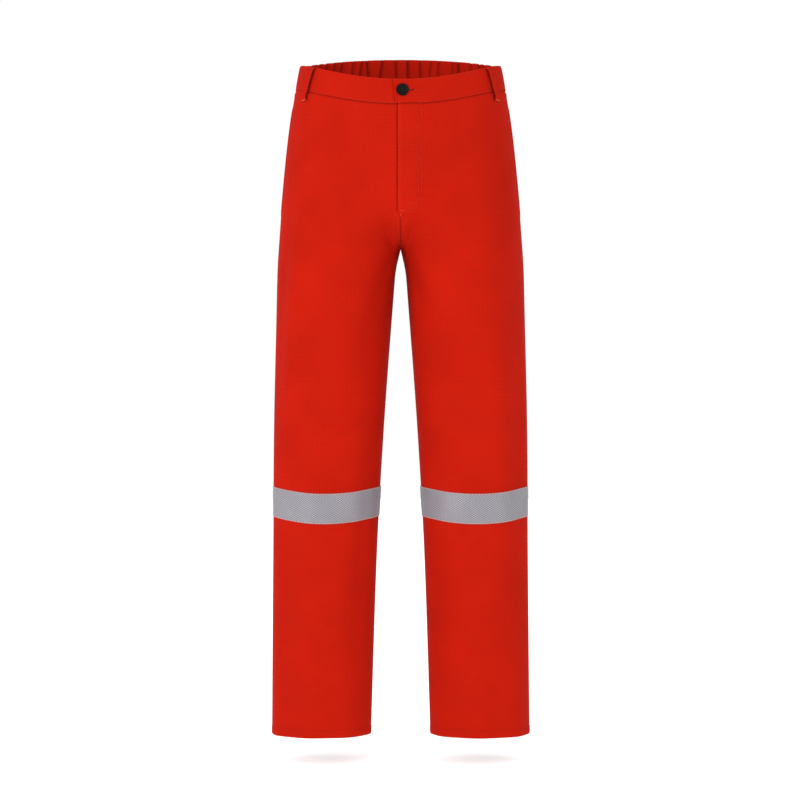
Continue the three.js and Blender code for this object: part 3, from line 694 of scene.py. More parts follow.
def area_light(name, place, target, size, power):
    data = bpy.data.lights.new(name, "AREA")
    data.shape, data.size, data.energy = "DISK", size, power
    made = bpy.data.objects.new(name, data)
    made.location = place
    direction = Vector(target) - Vector(place)
    made.rotation_euler = direction.to_track_quat("-Z", "Y").to_euler()
    bpy.context.scene.collection.objects.link(made)


area_light("key", (-2.4, -2.7, 0.5), (0, 0, -0.5), 2.0, 75)
area_light("fill", (2.3, -2.6, 0.0), (0, 0, -0.5), 2.0, 27)

floor_level = cad_low[2] / MM - FLOOR_DROP
span = np.linspace(-9000, 9000, 13)
floor_x, floor_y = grid_of(span, span)
floor_top = xyz(floor_x, floor_y, floor_level)
floor_finish, floor_tree, floor_shader = new_material("pale_floor")
floor_place = put(floor_tree, "ShaderNodeTexCoord").outputs["Object"]
floor_tone = spread(floor_tree, noise(floor_tree, floor_place, 900, 2.0), 0, 1, 0.9, 0.94)
floor_tree.links.new(floor_tone, floor_shader.inputs["Base Color"])
floor_shader.inputs["Roughness"].default_value = 0.9
floor_shader.inputs["Emission Color"].default_value = (1, 1, 1, 1)
floor_shader.inputs["Emission Strength"].default_value = 0.35
floor = slab("floor", floor_top, floor_top - np.array([0, 0, 20.0]), floor_finish)

# ---- The four panels ---------------------------------------------------------------------------
COLUMNS = 64
ROWS = {"waist": 50, "rise": 84, "leg": 230}
MOUTH = {"top": 82.0, "bottom": 238.0, "width": 6.0, "ramp": 14.0}


def row_levels(u, facing, inset):
    """Levels of every row of a panel for each column's u."""
    u = np.asarray(u, float)[..., None] if np.ndim(u) == 1 else np.asarray(u, float)
    height = RISE[facing]
    rise_top = CROTCH - height
    waist = np.linspace(0, 1, ROWS["waist"] + 1)[:-1]
    rise = np.sin(np.linspace(0, np.pi / 2, ROWS["rise"] + 1)[:-1])
    leg = np.linspace(0, 1, ROWS["leg"] + 1)
    split = [len(waist), len(waist) + len(rise)]
    u = np.broadcast_to(u, (u.shape[0], len(waist) + len(rise) + len(leg)))
    top = waist_level(u[:, :split[0]]) + BAND_HEIGHT - 5
    parts = [
        lerp(top, rise_top, waist[None, :]),
        np.broadcast_to(rise_top + (height - inset) * rise, (u.shape[0], len(rise))),
        np.broadcast_to(lerp(CROTCH - inset, HEM, leg), (u.shape[0], len(leg))),
    ]
    return np.concatenate(parts, 1), split[1]


def front_edges(side, level, side_level, below_crotch):
    """The u of a front panel's two edges on each row: the fly's edge and the pocket's mouth.
    level is a row's level at the centre front and side_level its level at the side seam."""
    reach = FLY_OVERLAP if side > 0 else 1.0
    past = window(level, -50, FLY_BOTTOM, FLY_RAMP)
    target = np.where(side > 0, -reach, reach) * past
    centre = np.where(past > 0, u_at_x(target, level), -1.0)
    cut = MOUTH["width"] * window(side_level, MOUTH["top"], MOUTH["bottom"], MOUTH["ramp"])
    outer = np.where(cut > 0, u_at_y(-cut, side_level), 0.0)
    centre[below_crotch], outer[below_crotch] = -1.0, 0.0
    return centre, outer


def panel_grid(side, facing, inset):
    share = np.linspace(0, 1, COLUMNS + 1)
    share = share - 0.7 * np.sin(2 * np.pi * share) / (2 * np.pi)
    middle, leg_row = row_levels(np.array([float(facing)]), facing, inset)
    middle = middle[0]
    below = np.arange(len(middle)) >= leg_row
    if facing < 0:
        at_side, _ = row_levels(np.array([0.0]), facing, inset)
        start, end = front_edges(side, middle, at_side[0], below)
    else:
        start, end = np.zeros_like(middle), np.ones_like(middle)
    u = start[None, :] + (end - start)[None, :] * share[:, None]
    level, _ = row_levels(u, facing, inset)
    blend = blend_at(u, level, inset)
    return u, level, shell_point(u, level, blend, inset), blend


def edge_lift(side, facing, u, level, from_start, from_end, x, blend):
    """Seams, the fly's raised edge and the pocket's mouth: (lift in mm, wear and painted shade,
    which is below 0 where shade is painted into the seams' hollows)."""
    groove = -0.8 * bell(from_start, 1.8) - 0.8 * bell(from_end, 1.8)
    swell = 0.5 * bell(from_start - 5, 3) + 0.5 * bell(from_end - 5, 3)
    near_crotch = window(level, CROTCH - 150, CROTCH + 40, 30)
    at_middle = from_start if facing < 0 else from_end
    keep = 1 - near_crotch * (1 - smoothstep(at_middle, 6, 24)) * smoothstep(blend, 0.02, 0.3)
    below_band = level - waist_level(u) - BAND_HEIGHT
    lift = (groove + swell) * keep - 1.2 * bell(below_band, 2.4)
    lift = lift + 0.7 * bell(below_band - 6, 3.5)
    wear_and_shade = 0.25 * bell(from_start - 4, 2.5)
    wear_and_shade = wear_and_shade + 0.25 * bell(from_end - 4, 2.5)
    # Painted shade: the cloth is darkened along each seam's groove and along the foot of the
    # waistband.
    wear_and_shade = wear_and_shade - 0.55 * bell(from_start, 0.9) - 0.55 * bell(from_end, 0.9)
    wear_and_shade = wear_and_shade - 0.6 * bell(below_band, 1.5)
    if facing < 0:
        along_fly = window(level, -50, FLY_BOTTOM - 4, FLY_RAMP)
        along_mouth = window(level, MOUTH["top"] - 4, MOUTH["bottom"] + 4, MOUTH["ramp"])
        if side > 0:
            rounded = 0.35 * bell(from_start, 1.2)
            at_fly = from_start < 40
            lift = lift * (1 - along_fly * at_fly) - along_fly * rounded + placket(x, level)
            # Painted shade along the fly's raised edge.
            wear_and_shade = wear_and_shade - 0.2 * along_fly * bell(from_start, 1.0)
        else:
            under = -1.3 * (1 - smoothstep(x, 2, 11))
            lift = lift + along_fly * under
            # Painted shadow on the strip that lies under the left front's edge.
            wear_and_shade = wear_and_shade - 0.5 * along_fly * (1 - smoothstep(x, 6.3, 8.6))
        lift = lift + along_mouth * 1.1 * bell(from_end, 9)
        wear_and_shade = wear_and_shade + 0.6 * along_mouth * bell(from_end, 2.5)
    return lift, wear_and_shade


def make_panel(side_name, facing):
    side = SIDES[side_name]
    u, level, base, blend = panel_grid(side, facing, 0.0)
    _, _, under, _ = panel_grid(side, facing, CLOTH)
    steps = np.linalg.norm(np.diff(base, axis=0), axis=-1)
    arc = np.concatenate([np.zeros((1, base.shape[1])), np.cumsum(steps, 0)])
    from_start, from_end = arc, arc[-1:] - arc
    lift, wear_and_shade = edge_lift(side, facing, u, level, from_start, from_end, base[..., 0], blend)
    lift = lift + cloth_lift(side, u, level)
    hem = smoothstep(level, HEM - HEM_HEIGHT - 1.5, HEM - HEM_HEIGHT + 1.5)
    lift = lift + 0.7 * hem - 0.5 * bell(level - (HEM - HEM_HEIGHT), 1.6)
    bottom = smoothstep(level, HEM - 1.6, HEM)
    away = outward(u, level)
    outer = base + away * (lift - 0.9 * bottom)[..., None]
    inner = under + away * (lift - 1.3 * hem + 0.9 * bottom)[..., None]
    wear_and_shade = wear_and_shade + 0.55 * smoothstep(level, HEM - 4, HEM)
    # The two sides' panels meet past the middle, so that no light comes through their seam.
    seam = 0 if facing < 0 else -1
    hold = (1 - smoothstep(blend[seam], 0.2, 0.8)) * (np.abs(u[seam]) >= 1)
    for grid in (outer, inner):
        grid[seam, :, 0] = lerp(grid[seam, :, 0], -SEAM_OVERLAP, hold)
    flat_x = (arc - arc[COLUMNS // 2][None, :]) * facing * side
    uv = np.stack([flat_x, -level], -1) * MM
    word = "front" if facing < 0 else "back"
    piece = slab(f"{side_name}_{word}_cloth", placed(side, outer), placed(side, inner),
                 shell_cloth, uv, np.clip(wear_and_shade, -1, 1))
    knee_blend(piece, side_name, "shell_cloth",
               f"{side_name}_{word}_panel", f"{side_name}_{word}_shin_panel")


for side_name in SIDES:
    for facing in (-1, 1):
        make_panel(side_name, facing)

# ---- Waistband ---------------------------------------------------------------------------------
BAND_ROWS = 30


def band_point(u, drop, inset):
    """The waistband is straight between its two edges."""
    top = body_point(u, waist_level(u), inset)
    foot = body_point(u, waist_level(u) + BAND_HEIGHT, inset)
    return top + (foot - top) * (np.asarray(drop) / BAND_HEIGHT)[..., None]


def rounded_rows(count, height):
    """Rows that crowd towards both edges of a strip."""
    return height * (1 - np.cos(np.linspace(0, np.pi, count + 1))) / 2


def edge_round(drop, height, radius):
    """1 across a strip and falling round to 0 at both of its edges."""
    near = np.clip(np.minimum(drop, height - drop) / radius, 0, 1)
    return np.sqrt(np.clip(1 - (1 - near) ** 2, 0, 1))


def stitch_dent(drop, height, margin):
    """Where the topstitching pulls a strip thin along both edges."""
    return bell(drop - margin, 1.1) + bell(height - margin - drop, 1.1)


def front_band(name, side, start_x, middle, half, seed, replaced):
    """Half a waistband: start_x, middle and half may vary down the band or along it."""
    drop = rounded_rows(BAND_ROWS, BAND_HEIGHT)
    share = np.linspace(0, 1, 121)
    start = u_at_x(start_x(drop), WAIST_DIP[-1])
    u = start[None, :] * (1 - share[:, None])
    x = body_point(u, waist_level(u))[..., 0]
    puff = 0.45 * np.sin(np.pi * drop / BAND_HEIGHT) ** 0.6
    wobble = 0.35 * ripple(u, np.broadcast_to(drop, u.shape) * 9, seed, 5, (6, 16), (0.5, 2))
    thick = half(x) * edge_round(drop, BAND_HEIGHT, 1.6)[None, :]
    dent = 0.5 * stitch_dent(drop, BAND_HEIGHT, BAND_MARGIN)[None, :]
    centre = middle(x) - wobble
    outer = band_point(u, np.broadcast_to(drop, u.shape), 0.0)
    away = outward(u, waist_level(u) + BAND_HEIGHT / 2)
    wear_and_shade = np.clip(1 - edge_round(drop, BAND_HEIGHT, 3.0), 0, 1)[None, :] * np.ones_like(u) * 0.8
    face = outer - away * (centre - thick - puff + dent)[..., None]
    back = outer - away * (centre + thick + 0.3 * puff - 0.4 * dent)[..., None]
    piece = slab(name, placed(side, face), placed(side, back), shell_cloth, None, wear_and_shade)
    finished(piece, "seat", "shell_cloth", replaced)
    rows = [int(np.abs(drop - d).argmin()) for d in (BAND_MARGIN, BAND_HEIGHT - BAND_MARGIN)]
    end = np.abs(path_lengths(face[:, 15]) - 2.2).argmin()
    strips = [np.s_[:, k] for k in rows] + [np.s_[end, rows[0]:rows[1]]]
    return piece, [(placed(side, face[strip] + away[strip] * THREAD_LIFT),
                    placed(side, away[strip])) for strip in strips]


def left_end(drop):
    """The overlapping end is cut on a slant and its lower corner dips under the seam."""
    return -12.4 + 4.0 * drop / BAND_HEIGHT


left_band, left_band_lines = front_band(
    "waistband_left", 1, left_end, lambda x: 0.7 - 1.6 * (1 - smoothstep(x, -11, -3)),
    lambda x: 1.15 + 0 * x, 21, "waistband_left_front",
)


def risen(x):
    """How far the underlapping band has come up beside the slanted end of the other one."""
    return smoothstep(x + 4.0 * rounded_rows(BAND_ROWS, BAND_HEIGHT) / BAND_HEIGHT, 6.0, 14.2)


_, right_band_lines = front_band(
    "waistband_right", -1, lambda drop: -35.0 + 0 * drop, lambda x: lerp(3.9, 0.7, risen(x)),
    lambda x: lerp(0.85, 1.15, risen(x)), 33, "waistband_right_front",
)


def back_band(name, path, thickness, slot, finish, replaced, gathered, reach=1.0):
    """A sheet that runs round the back from side seam to side seam, its section a bent path."""
    across = np.linspace(-reach, reach, 361)
    u = 1 - np.abs(across)
    path = np.asarray(path, float)
    steps = path_lengths(path)
    at = np.linspace(0, steps[-1], 64)
    line = sampled(path, steps, at)
    for _ in range(2):
        line[1:-1] = (line[:-2] + 2 * line[1:-1] + line[2:]) / 4
    way = np.gradient(line, axis=0)
    way /= np.linalg.norm(way, axis=1, keepdims=True)
    side_way = np.stack([way[:, 1], -way[:, 0]], -1)
    grids = []
    for offset in (0.5, -0.5):
        inset, drop = (line + side_way * thickness * offset).T
        u_grid = np.repeat(u[:, None], len(inset), 1)
        drop_grid = np.broadcast_to(drop, u_grid.shape)
        point = band_point(u_grid, drop_grid, 0.0)
        away = outward(u_grid, waist_level(u_grid) + BAND_HEIGHT / 2)
        hollow = np.where((across > 0)[:, None], gather(1, u_grid, drop_grid),
                          gather(-1, u_grid, drop_grid))
        slow = 0.35 * np.sin(11 * across * np.pi)[:, None]
        swell = gathered * (2.2 * hollow - 0.6 + slow * 0.6) * smoothstep(u_grid, 0.02, 0.12)
        point = point - away * (inset[None, :] + swell)[..., None]
        point[..., 2] -= 0.5 * hollow * gathered * (drop_grid < 6)
        point[across < 0, :, 0] *= -1
        away[across < 0, :, 0] *= -1
        grids.append(point)
    # Painted shade: the cloth is darkened in the hollows of the gathers.
    gather_shade = -0.9 * np.clip(hollow, 0, 1) ** 1.5
    piece = slab(name, grids[0], grids[1], finish, None, gather_shade)
    finished(piece, "seat", slot, replaced)
    on_face = np.abs(line[:, 0] - line[0, 0]) < 0.2
    rows = [int(np.where(on_face, np.abs(drop - d), 99).argmin())
            for d in (3.4, BAND_HEIGHT - BAND_MARGIN)]
    return piece, [(grids[0][:, k] + away[:, k] * 0.3, away[:, k]) for k in rows]


FACE, CHANNEL_WALL, CHANNEL = -0.6, 1.2, 2.4
outer_line, inner_line = FACE + 0.5, FACE + CHANNEL_WALL + CHANNEL + 0.7
casing, casing_lines = back_band(
    "waistband_back", [(outer_line, 39.6), (outer_line, 1.6), (outer_line + 0.9, 0.5),
                       (inner_line - 0.9, 0.5), (inner_line, 1.6), (inner_line, 39.6)],
    0.9, "shell_cloth", shell_cloth, "waistband_back_casing", 2.0,
)
middle_line = (outer_line + inner_line) / 2
elastic, _ = back_band("gathered_elastic", [(middle_line, 2.2), (middle_line, 36.0)], 1.2,
                    "elastic_webbing", elastic_web, "waist_elastic", 2.0, 0.985)

# ---- Belt loops --------------------------------------------------------------------------------
LOOP_LENGTH, LOOP_WIDTH, LOOP_OFF = BAND_HEIGHT + 16, 12.0, 6.2
LOOPS = {"front": (-0.365, -0.315), "back": (0.5, 0.5), "centre_back": (1.0, 1.0)}
tacks = []


def belt_loop(name, side, top_u, bottom_u, replaced):
    """A folded strap, sewn down at both ends and standing off the waistband between them."""
    down = np.linspace(0, 1, 57)
    across = rounded_rows(16, LOOP_WIDTH)
    arch = np.sin(np.clip(np.minimum(down, 1 - down) / 0.16, 0, 1) * np.pi / 2)
    u = lerp(top_u, bottom_u, down)
    level = waist_level(u) + 1.5 + LOOP_LENGTH * down
    off = 0.9 + (LOOP_OFF - 1.1) * arch + 0.25 * np.sin(down * 9 + top_u * 20)
    middle = body_point(u, level) + outward(u, level) * off[:, None]
    along = body_point(u + 0.01, level) - body_point(u - 0.01, level)
    along[:, 2] = 0
    along /= np.linalg.norm(along, axis=1, keepdims=True)
    away = outward(u, level)
    offset = across - LOOP_WIDTH / 2
    flat = middle[None, :, :] + along[None, :, :] * offset[:, None, None]
    dent = stitch_dent(across, LOOP_WIDTH, LOOP_MARGIN)
    thick = 0.8 * edge_round(across, LOOP_WIDTH, 1.0) - 0.25 * dent
    crown = 0.35 * np.cos(offset / LOOP_WIDTH * np.pi)
    out = flat + away[None] * (thick + crown + 0.8)[:, None, None]
    inside = flat + away[None] * (crown - thick + 0.8)[:, None, None]
    wear_and_shade = np.repeat((1 - edge_round(across, LOOP_WIDTH, 1.6))[:, None], len(down), 1) * 0.9
    piece = slab(name, placed(side, out), placed(side, inside), shell_cloth, None, wear_and_shade)
    finished(piece, "seat", "shell_cloth", replaced)
    tacks.extend(bartack(side, middle[-2] + away[-2] * 2.0, along[-2], away[-2], 9.2))
    lines = []
    for edge in (LOOP_MARGIN, LOOP_WIDTH - LOOP_MARGIN):
        line = middle + along * (edge - LOOP_WIDTH / 2) + away * 1.78
        lines.append((placed(side, line), placed(side, away)))
    return lines


loop_lines = []
for side_name, side in SIDES.items():
    for word in ("front", "back"):
        loop_lines += belt_loop(f"{side_name}_{word}_strap", side, *LOOPS[word],
                                f"{side_name}_{word}_belt_loop")
loop_lines += belt_loop("centre_back_strap", 1, *LOOPS["centre_back"], "centre_back_belt_loop")
sewn("loop_stitches", loop_lines)

# ---- Reflective tapes --------------------------------------------------------------------------
def tape_level(u, drop):
    dip = np.where(u < 0, TAPE_DIP * np.sin(u * np.pi) ** 2, 0)
    return TAPE_LEVEL + dip + drop


for side_name, side in SIDES.items():
    u = np.linspace(-1.0, 1.035, 230)
    drop = rounded_rows(22, TAPE_WIDTH)
    wrapped = np.where(u > 1, u - 2, u)
    u_grid, drop_grid = grid_of(wrapped, drop)
    over = 0.7 * smoothstep(u, 0.96, 1.0)[:, None]
    dent = 0.3 * stitch_dent(drop, TAPE_WIDTH, 2.6)[None, :]
    low = 0.45 + over + 0 * drop_grid
    high = low + 0.75 * edge_round(drop, TAPE_WIDTH, 0.8)[None, :] + 0.05
    lift = 0.12 * np.sin(u_grid * 31 + drop_grid / 9)
    out = skin(side, u_grid, tape_level(u_grid, drop_grid), high - dent + lift)
    back = skin(side, u_grid, tape_level(u_grid, drop_grid), low - 0.3 * dent + lift)
    piece = slab(f"{side_name}_tape", placed(side, out), placed(side, back), silver_tape)
    finished(piece, f"{side_name}_lower_leg", "reflective_tape", f"{side_name}_reflective_tape")
    line_u = np.linspace(-1, 1, 240)
    lines = [on_skin(side, line_u, tape_level(line_u, edge), 1.15)
             for edge in (TAPE_MARGIN, TAPE_WIDTH - TAPE_MARGIN)]
    sewn(f"{side_name}_tape_stitches", lines, pink_thread, f"{side_name}_lower_leg",
         "reflective_tape", stitch=2.6, gap=0.3, radius=0.45)

# ---- Fly and zip -------------------------------------------------------------------------------
ZIP_X, ZIP_INSET, ZIP_TOP, ZIP_BOTTOM, ZIP_STOP = 5.0, 7.0, 88.0, 236.0, 4.0
FLY_TOP = WAIST_DIP[-1] + BAND_HEIGHT + 1.1
FACING_SEAT, TAPE_FACE = 2.7, 6.6


def zip_y(level, inset):
    top = body_point(-1.0, ZIP_TOP, inset)[..., 1]
    bottom = body_point(-1.0, ZIP_BOTTOM, inset)[..., 1]
    return lerp(top, bottom, (level - ZIP_TOP) / (ZIP_BOTTOM - ZIP_TOP))


def fly_sheet(name, start_x, end_x, inset_at, replaced):
    """A layer behind the fly, slightly rippled."""
    x = np.linspace(start_x, end_x, 49)
    level = np.linspace(FLY_TOP, ZIP_BOTTOM + ZIP_STOP, 121)
    x_grid, level_grid = grid_of(x, level)
    grids = []
    for depth in (0.05, 0.95):
        inset = inset_at(x_grid) + depth
        inset = inset + 0.12 * np.sin(level_grid / 6 + x_grid / 5)
        straight = smoothstep(inset, FACING_SEAT + 1, TAPE_FACE - 2)
        on_cloth = body_point(u_at_x(x_grid, level_grid, inset), level_grid, inset)[..., 1]
        grids.append(xyz(x_grid, lerp(on_cloth, zip_y(level_grid, inset), straight), -level_grid))
    piece = slab(name, grids[0], grids[1], shell_cloth)
    finished(piece, "seat", "shell_cloth", replaced)
    return grids


ZONE = ZIP_X + 4.5 + 0.9
fly_sheet("fly_facing_cloth", ZONE, 33.0,
          lambda x: lerp(5.3, FACING_SEAT, smoothstep(x, ZONE + 7, ZONE + 14)),
          "fly_facing")


def shield_inset(x):
    slack = ZIP_INSET + 2.4 + 0.6
    on_panel = smoothstep(-x, 19.5, 26.5)
    behind_slider = smoothstep(x, -7, ZIP_X - 5.4)
    return lerp(lerp(ZIP_INSET + 0.7, slack, behind_slider), FACING_SEAT, on_panel)


shield = fly_sheet("fly_shield_cloth", -30.0, 19.0, shield_inset, "fly_shield")
shield_edge = shield[1][0] + np.array([1.2, 0.45, 0])
sewn("fly_shield_stitches", [(shield_edge, (0, 1, 0))])

for side_name, side in SIDES.items():
    near = ZIP_X + side * (0.9 + 2.6 + 0.3)
    x = near + side * np.linspace(0, 10.4, 27)
    level = np.linspace(FLY_TOP - 0.2, ZIP_BOTTOM + ZIP_STOP, 150)
    x_grid, level_grid = grid_of(x, level)
    rib = 0.10 * np.cos((x_grid - near) * 2 * np.pi / 1.3) + 0.03 * np.sin(level_grid * 3)
    front_y = zip_y(level_grid, ZIP_INSET) - 0.30 - rib
    back_y = zip_y(level_grid, ZIP_INSET) + 0.30 + rib
    piece = slab(f"{side_name}_zip_webbing", xyz(x_grid, front_y, -level_grid),
                 xyz(x_grid, back_y, -level_grid), zip_web)
    finished(piece, "seat", "zip_webbing", f"{side_name}_zip_tape")

for name in ("left_zip_teeth", "right_zip_teeth", "left_zip_top_stop", "right_zip_top_stop",
             "zip_bottom_stop", "zip_slider", "zip_pull"):
    nodes[name].data.materials.clear()
    nodes[name].data.materials.append(brass)

# ---- Button ------------------------------------------------------------------------------------
BUTTON_LOW, BUTTON_HIGH = (np.array(corner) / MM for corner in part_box("waist_button"))
BUTTON_X, BUTTON_Z = (BUTTON_LOW[0] + BUTTON_HIGH[0]) / 2, (BUTTON_LOW[2] + BUTTON_HIGH[2]) / 2
BUTTON_BACK, BUTTON_DEEP = BUTTON_HIGH[1], 3.0
HOLE_SPREAD, HOLE_RADIUS = 2.0, 0.95


def lathe(name, profile, segments, finish, place):
    """A turned solid: profile is (radius, height) pairs and height runs towards the front."""
    profile = np.asarray(profile, float)
    turns = np.arange(segments) / segments * 2 * np.pi
    points, faces = [[0, 0, 0]], []
    for radius, height in profile:
        points += [[radius * math.cos(t), -height, radius * math.sin(t)] for t in turns]
    points.append([0, -profile[-1][1], 0])
    last = len(points) - 1
    for r in range(len(profile) - 1):
        for k in range(segments):
            a, b = 1 + r * segments + k, 1 + r * segments + (k + 1) % segments
            faces.append([a, b, b + segments, a + segments])
    points = np.array(points) + np.array(place)
    mesh = bpy.data.meshes.new(name)
    tail = 1 + (len(profile) - 1) * segments
    caps = [[0, 1 + (k + 1) % segments, 1 + k] for k in range(segments)]
    caps += [[last, tail + k, tail + (k + 1) % segments] for k in range(segments)]
    mesh.from_pydata((points * MM).tolist(), [], faces + caps)
    return add_object(name, mesh, finish)


def cut(piece, cutters):
    """Takes the cutters out of a piece and drops them."""
    for cutter in cutters:
        modifier = piece.modifiers.new("cut", "BOOLEAN")
        modifier.operation, modifier.solver, modifier.object = "DIFFERENCE", "EXACT", cutter
    bpy.context.view_layer.update()
    graph = bpy.context.evaluated_depsgraph_get()
    result = bpy.data.meshes.new_from_object(piece.evaluated_get(graph))
    piece.modifiers.clear()
    piece.data = result
    for cutter in cutters:
        bpy.data.objects.remove(cutter)
    piece.data.set_sharp_from_angle(angle=math.radians(35))


face = BUTTON_DEEP
button_profile = [
    (3, 0), (8.6, 0), (9.3, 0.25), (9.8, 0.8), (10, 1.4), (9.95, 2.1), (9.7, 2.65),
    (9.2, face), (8.6, face), (8.1, face - 0.1), (7.6, face - 0.45), (7.0, face - 0.72),
    (5.2, face - 0.85), (4.4, face - 0.8), (3.9, face - 0.95), (2.0, face - 0.98),
]
button = lathe("button_disc", button_profile, 72, black_plastic, (BUTTON_X, BUTTON_BACK, BUTTON_Z))
holes = []
for dx in (-1, 1):
    for dz in (-1, 1):
        holes.append(lathe("drill", [(HOLE_RADIUS, -2), (HOLE_RADIUS, 6)], 20, black_plastic,
                           (BUTTON_X + dx * HOLE_SPREAD, BUTTON_BACK, BUTTON_Z + dz * HOLE_SPREAD)))
cut(button, holes)
finished(button, "waist_button", "button_plastic", "waist_button")
cross_lines, strands = [], []
for dz in (-1, 1):
    for shift in (-0.35, 0.0, 0.35):
        x = BUTTON_X + np.linspace(-HOLE_SPREAD, HOLE_SPREAD, 12)
        y = BUTTON_BACK - face + 0.98 + 1.2 * np.abs(np.linspace(-1, 1, 12)) ** 6 - 0.25
        z = BUTTON_Z + dz * HOLE_SPREAD + shift
        cross_lines.append((xyz(x, y, z), (0, -1, 0)))
        strand = np.linspace(BUTTON_BACK - face + 1.3, BUTTON_BACK - 0.5, 8)
        x = BUTTON_X + np.sign(shift) * HOLE_SPREAD
        if shift:
            strands.append((xyz(x, strand, BUTTON_Z + dz * HOLE_SPREAD), (1, 0, 0)))
sewn("button_strands", strands, black_thread, "waist_button", "button_thread",
     stitch=6.0, gap=0.0, radius=0.85 * HOLE_RADIUS)
sewn("button_stitches", cross_lines, black_thread, "waist_button", "button_thread",
     stitch=3.9, gap=0.1, radius=0.28)

# The shank is thread wound round the strands between the button and the band.
SHANK_LOW, SHANK_HIGH = (np.array(corner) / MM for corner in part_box("button_thread_shank"))
turns = np.linspace(0, 9 * 2 * np.pi, 200)
shank_y = np.linspace(SHANK_LOW[1] + 0.2, SHANK_HIGH[1] - 0.2, 200)
shank_out = xyz(np.cos(turns), 0 * turns, np.sin(turns))
shank_core = xyz(BUTTON_X, shank_y, BUTTON_Z)
shank_line = xyz(BUTTON_X + 1.05 * np.cos(turns), shank_y, BUTTON_Z + 1.05 * np.sin(turns))
shank = stitching("button_shank", [(shank_line, shank_out)], black_thread, stitch=2.0, gap=-0.5,
                  radius=0.34)
finished(shank, "seat", "button_thread", "button_thread_shank")
sewn("button_shank_core", [(shank_core, (1, 0, 0))], black_thread, slot="button_thread",
     stitch=2.5, gap=-1.0, radius=0.9)

# The buttonhole is a slit in the left band, bound with close stitches.
SLIT_START, SLIT_END, SLIT_HALF, SLIT_CUT_FROM = -2.0, 23.0, 0.6, -114.0
SLIT_MIDDLE = (SLIT_START + SLIT_END) / 2
slit_x = np.linspace(SLIT_START, SLIT_END, 24)
slit_grid = np.stack(np.meshgrid(slit_x, np.linspace(-1, 1, 3), indexing="ij"), -1)
width = SLIT_HALF * np.sqrt(np.clip(1 - ((slit_grid[..., 0] - SLIT_MIDDLE) / 12.8) ** 4, 0.02, 1))
cutter_face = xyz(slit_grid[..., 0], SLIT_CUT_FROM, -BUTTON_LEVEL + slit_grid[..., 1] * width)
cutter_back = cutter_face + np.array([0, 10.0, 0])
slit_cutter = slab("slit", cutter_face, cutter_back, shell_cloth)
cut(left_band, [slit_cutter])
rim_turn = np.linspace(0, 2 * np.pi, 120)
rim_x = SLIT_MIDDLE + 13.4 * np.sign(np.cos(rim_turn)) * np.abs(np.cos(rim_turn)) ** 0.7
rim_z = -BUTTON_LEVEL + 1.5 * np.sign(np.sin(rim_turn)) * np.abs(np.sin(rim_turn)) ** 0.5
band_face_y = -torso_front(BUTTON_LEVEL) - 0.95
rim_lines = []
for k in range(0, 119):
    toward = np.array([SLIT_MIDDLE + 0.9 * (rim_x[k] - SLIT_MIDDLE), band_face_y,
                       -BUTTON_LEVEL + 0.4 * (rim_z[k] + BUTTON_LEVEL)])
    outside = np.array([rim_x[k], band_face_y, rim_z[k]])
    points = [outside + (toward - outside) * t for t in (0, 0.33, 0.66, 1)]
    rim_lines.append((points, (0, -1, 0)))
sewn("buttonhole_stitches", rim_lines, stitch=0.95, gap=0.1, radius=0.24)
for x in (16.2, 24.4, 25.0):
    u_here = u_at_x(x, BUTTON_LEVEL)
    centre = np.array([x, band_face_y - 0.1, -BUTTON_LEVEL + (1.3 if x < 19 else 0.0)])
    tacks.extend(bartack(1, centre, np.array([0.0, 0, 1]), np.array([0.0, -1, 0]), 1.2, 1.2))

# ---- Pockets -----------------------------------------------------------------------------------
def mouth_u(level, back=0.0):
    cut_width = MOUTH["width"] * window(level, MOUTH["top"], MOUTH["bottom"], MOUTH["ramp"])
    return u_at_y(-cut_width - back, level)


